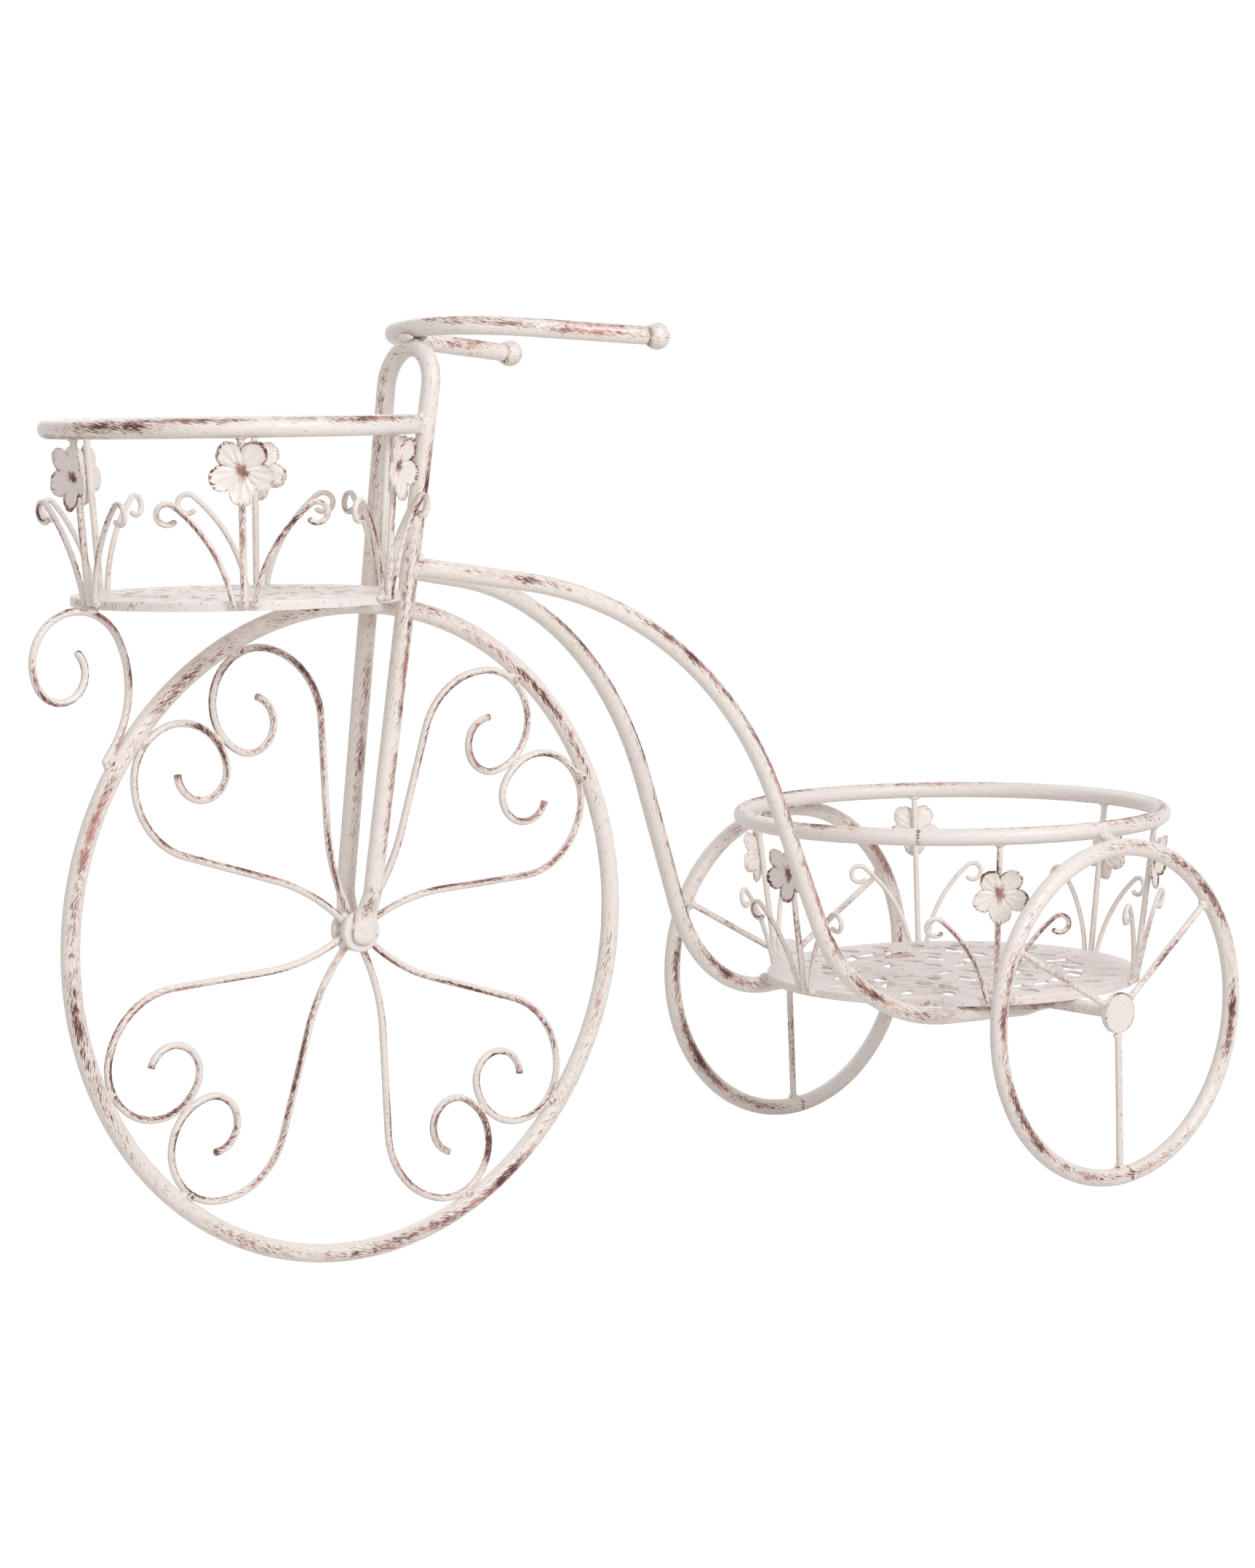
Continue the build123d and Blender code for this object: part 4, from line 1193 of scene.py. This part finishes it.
# %% Beads of the scrolls
wheel_beads = []
coil_sink, nub_lift, hub_weld_out = 0.4, 2.8, 1.5
coil_away = front_wheel - TUBE - WIRE - GAP - coil_r
coil_rise = coil_r + WIRE + GAP
for number in range(8):
    side = 1 if number % 2 == 0 else -1
    bisector = np.radians(first_bearing + 90 * (number // 2))
    bearing = bisector + side * np.arcsin(coil_rise / coil_away)
    outward = np.array([np.cos(bearing), 0, np.sin(bearing)])
    along = np.array([-np.sin(bearing), 0, np.cos(bearing)])
    contact = front_axle + outward * (front_wheel - TUBE - coil_sink) - [0, coil_sink, 0]
    wheel_beads.append(bead(contact, "coil", 300 + number, along))
    wheel_beads.append(bead(contact - [0, nub_lift, 0], "coil nub", 310 + number, along, dot=1.0))
    if side > 0:
        touch = np.array([np.cos(bisector), 0, np.sin(bisector)])
        at = front_axle + touch * np.sqrt(coil_away**2 - coil_rise**2)
        wheel_beads.append(bead(at, "pair", 320 + number, touch))
        at = front_axle + touch * (hub_barrel + hub_weld_out)
        wheel_beads.append(bead(at, "hub", 340 + number, touch))
print("beads of the scrolls:", len(wheel_beads))


# %% Beads of the bracket and the wheel top
foot_back, foot_nub_lift, lip_sink, top_weld_back = 2.5, 2.6, 0.8, 8.0
on_tube = TUBE * 0.8
foot_out = unit(np.degrees(np.arctan2(bracket_foot[2] - front_axle[2], bracket_foot[0] - front_axle[0])))
foot_out = np.array([foot_out[0], 0, foot_out[1]])
foot_along = np.array([-foot_out[2], 0, foot_out[0]])
foot_weld = bracket_foot - foot_out * WIRE - foot_along * foot_back
wheel_beads.append(bead(foot_weld, "bracket foot", 360, foot_along))
wheel_beads.append(bead(foot_weld - [0, foot_nub_lift, 0], "bracket nub", 359, foot_along, dot=1.0))
lip = np.array([front["x"] - front["plate"], 0, front["bottom"]])
wheel_beads.append(bead(lip - [lip_sink, 0, lip_sink], "plate lip", 361))
wheel_top = front_axle + [-top_weld_back, 0, front_wheel + on_tube]
wheel_beads.append(bead(wheel_top, "wheel top", 362))
fit(surface("wheel_welds", wheel_beads), "wire_paint", wire_paint)
print("beads of the front wheel:", len(wheel_beads))


# %% Beads of the baskets
basket_beads = []
stem_weld_up, stem_weld_in = plate_edge * 0.62, 1.2
leaf_weld_up, leaf_weld_in, leaf_weld_aside = plate_edge * 0.6, 1.1, 0.6
under_ring = TUBE * 0.96
for key, basket in baskets.items():
    for number, bearing in enumerate(basket["bearings"]):
        seed = 400 + 20 * number + (200 if key == "rear_basket" else 0)
        foot, sideways, up, out = group_frame(basket, bearing, STEM)
        at = foot + up * stem_weld_up - out * stem_weld_in
        basket_beads.append(bead(at, "stem foot", seed, sideways, out))
        for side in (1, -1):
            at = foot + sideways * side * (leaf_foot + leaf_weld_aside)
            at = at + up * leaf_weld_up - out * leaf_weld_in
            basket_beads.append(bead(at, "leaf foot", seed + 2 + side, sideways, out))
        top = foot + up * ((basket["ring_z"] - basket["bottom"] - under_ring) / up[2])
        basket_beads.append(bead(top, "stem top", seed + 5, sideways, -UP + out * 0.2))
fit(surface("basket_welds", basket_beads), "wire_paint", wire_paint)
print("beads of the baskets:", len(basket_beads))


# %% Beads of the frame
frame_beads = []
joint_reach, joint_y, joint_z = 5.1, 4.6, 5.4
joint_turns = np.linspace(0, 2 * np.pi, 9)[:-1]
stub_reach, stub_y, stub_z = 5.4, 4.2, 4.4
stub_turns, tab_turns = (-2.2, -0.8, 0.8, 2.2), (0.6, 2.6, 4.9)
tab_ring, tab_out, crossing_aside = 6.6, 0.6, 1.5
hoop_weld_in, hoop_weld_up = 3.4, 3.0
web_weld_in, web_weld_up = 6.5, 3.0
spoke_foot_out, spoke_foot_far, spoke_tip_in = 1.5, 0.5, 0.3
arch_aside = 4.3
for side in (1, -1):
    start = leg_point(frame_height, side)
    for number, turn in enumerate(joint_turns):
        ring = np.array([joint_reach, np.cos(turn) * joint_y, np.sin(turn) * joint_z])
        sweep = (0, -np.sin(turn), np.cos(turn))
        frame_beads.append(bead(start + ring, "frame joint", 700 + number + 10 * side, sweep))
    leg = leg_point(front["ring_z"] - front_axle[2], side)
    for turn in stub_turns:
        ring = np.array([-stub_reach, np.cos(turn) * stub_y, np.sin(turn) * stub_z])
        frame_beads.append(bead(leg + ring, "stub joint", 760 + int(10 * turn), UP))
    tab = front_axle + np.array([0, side * (hub_width / 2 + tab_out), 0])
    for turn in tab_turns:
        ring = np.array([np.cos(turn) * tab_ring, 0, np.sin(turn) * tab_ring])
        sweep = (-np.sin(turn), 0, np.cos(turn))
        frame_beads.append(bead(tab + ring, "fork foot", 780 + int(10 * turn), sweep))
    run = frame_line(side)[0][0]
    from_basket = np.hypot(run[:, 0] - rear["x"], run[:, 1])
    crossing = run[np.argmin(np.abs(from_basket - rear["plate"]))]
    frame_beads.append(bead(crossing + [0, side * crossing_aside, on_tube], "crossing", 790 + side))
    hoop_top = rear_axle + [0, side * (half_track - hoop_weld_in), rear_wheel + hoop_weld_up]
    frame_beads.append(bead(hoop_top, "hoop top", 800 + side))
    frame_beads.append(bead(hoop_top + [0, -side * web_weld_in, web_weld_up], "hoop web", 804 + side))
    for number, bearing in enumerate(spoke_bearings["near" if side < 0 else "far"]):
        outward = np.array([np.cos(np.radians(bearing)), 0, np.sin(np.radians(bearing))])
        middle = rear_axle + np.array([0, side * half_track, 0])
        at_hub = middle + outward * (hub_r + spoke_foot_out)
        at_hoop = middle + outward * (rear_wheel - TUBE - spoke_tip_in)
        frame_beads.append(bead(at_hub + [0, spoke_foot_far, 0], "spoke foot", 820 + number, outward))
        frame_beads.append(bead(at_hoop, "spoke tip", 830 + number, outward))
for side in (1, -1):
    frame_beads.append(bead(arch_top + [side * arch_aside, 0, TUBE], "arch", 850 + side, (1, 0, 0), UP))
fit(surface("frame_welds", frame_beads), "tube_paint", paint)
print("beads of the frame:", len(frame_beads))


# %% [markdown]
# ## Front hub and plates
# The spool and the two pierced plates are already right in the CAD, so they
# stay and only get the paint, in a finish that reads its strokes from Object
# coordinates.

# %% Front hub and plates
# Hub: nearly clean paint with a few short flecks.
hub_paint = brushed_paint("warm_white_hub_paint", "#F0EBE6", stroke=FLECK, by_map=False)
kept = {"front_hub": hub_paint, "front_basket_plate": sheet_paint, "rear_basket_plate": sheet_paint}
for node, material in kept.items():
    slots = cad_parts[node].material_slots
    if slots:
        slots[0].material = material
    else:
        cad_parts[node].data.materials.append(material)
print("CAD nodes kept:", len(kept))


# %% [markdown]
# ## Floor, backdrop and light
# The stand is photographed on pure white. A far larger floor and a white world
# do that: to the eye and in gloss they are plain white, while their light on
# the stand stays soft. Three wide lamps model the tubes.

# %% Floor and world
def seen_white(tree):
    """1 on rays from the camera, in gloss and through glass, else 0."""
    seen = add_node(tree, "LightPath", out="Is Camera Ray")
    for ray in ("Is Glossy Ray", "Is Transmission Ray"):
        seen = add_node(tree, "Math", seen, add_node(tree, "LightPath", out=ray), operation="MAXIMUM")
    return seen


def floor_paint():
    """White seen straight on or in gloss, and a mid white for the light it throws.

    What the eye sees is part lit paint and part own light, so that a faint
    shadow of the stand is left on it.
    """
    material = bpy.data.materials.new("white_floor")
    material.use_nodes = True
    tree = material.node_tree
    tree.nodes.clear()
    seen = seen_white(tree)
    matt = add_node(tree, "BsdfDiffuse", linear("#E6E3E0"))
    pale = add_node(tree, "BsdfDiffuse", (0.12, 0.12, 0.12, 1.0))
    own = add_node(tree, "Emission", (1.0, 1.0, 1.0, 1.0), 0.965)
    both = add_node(tree, "AddShader", pale, own)
    add_node(tree, "OutputMaterial", add_node(tree, "MixShader", seen, matt, both))
    return material


mesh = bpy.data.meshes.new("floor")
reach = 6.0
corners = [(-reach, -reach, 0), (reach, -reach, 0), (reach, reach, 0), (-reach, reach, 0)]
mesh.from_pydata(corners, [], [(0, 1, 2, 3)])
floor = bpy.data.objects.new("floor", mesh)
bpy.context.scene.collection.objects.link(floor)
floor.data.materials.append(floor_paint())

world = bpy.data.worlds.new("studio")
bpy.context.scene.world = world
world.use_nodes = True
tree = world.node_tree
tree.nodes.clear()
soft = add_node(tree, "Background", linear("#F3F1F0"), 0.52)
white = add_node(tree, "Background", (1.0, 1.0, 1.0, 1.0), 1.0)
add_node(tree, "OutputWorld", add_node(tree, "MixShader", seen_white(tree), soft, white))


# %% Lamps
def lamp(name, place, aim, size, power):
    """Square area lamp at a place in metres, turned to face the aim."""
    light = bpy.data.lights.new(name, "AREA")
    light.shape = "SQUARE"
    light.size = size
    light.energy = power
    source = bpy.data.objects.new(name, light)
    back = np.array(place, float) - np.array(aim, float)
    back /= np.linalg.norm(back)
    side = np.cross(UP, back)
    side /= np.linalg.norm(side)
    turn = np.stack([side, np.cross(back, side), back], 1)
    matrix = np.eye(4)
    matrix[:3, :3] = turn
    matrix[:3, 3] = place
    source.matrix_world = Matrix(matrix.tolist())
    bpy.context.scene.collection.objects.link(source)
    return source


AIM = (0.0, 0.0, 0.22)
lamp("key", (0.1, -2.7, 1.9), AIM, 1.2, 46.0)
lamp("fill", (-2.3, -1.5, 1.9), AIM, 2.2, 13.0)
lamp("back", (0.6, 2.4, 2.2), AIM, 1.8, 18.0)
scene = bpy.context.scene
scene.view_settings.view_transform = "Standard"


# %% [markdown]
# ## Camera
# The view was found from the photograph: the round hoops and the known track
# give the place, the turn and the lens.

# %% Camera
IMAGE_HEIGHT = 2156
SENSOR = 36.0
LENS = 84.28
SHIFT_PIXELS = -3.1
camera_place = (-1.28895, -1.6090, 0.4617)
yaw, pitch, roll = np.radians((-38.66, 6.026, -0.785))
back = np.array([np.sin(yaw) * np.cos(pitch), -np.cos(yaw) * np.cos(pitch), np.sin(pitch)])
level = np.array([np.cos(yaw), np.sin(yaw), 0])
above = np.cross(level, -back)
right = np.cos(roll) * level + np.sin(roll) * above
upward = -np.sin(roll) * level + np.cos(roll) * above
data = bpy.data.cameras.new("view")
data.sensor_fit = "VERTICAL"
data.sensor_height = SENSOR
data.lens = LENS
data.shift_y = SHIFT_PIXELS / IMAGE_HEIGHT
camera = bpy.data.objects.new("view", data)
matrix = np.eye(4)
matrix[:3, :3] = np.stack([right, upward, back], 1)
matrix[:3, 3] = camera_place
camera.matrix_world = Matrix(matrix.tolist())
scene.collection.objects.link(camera)
scene.camera = camera
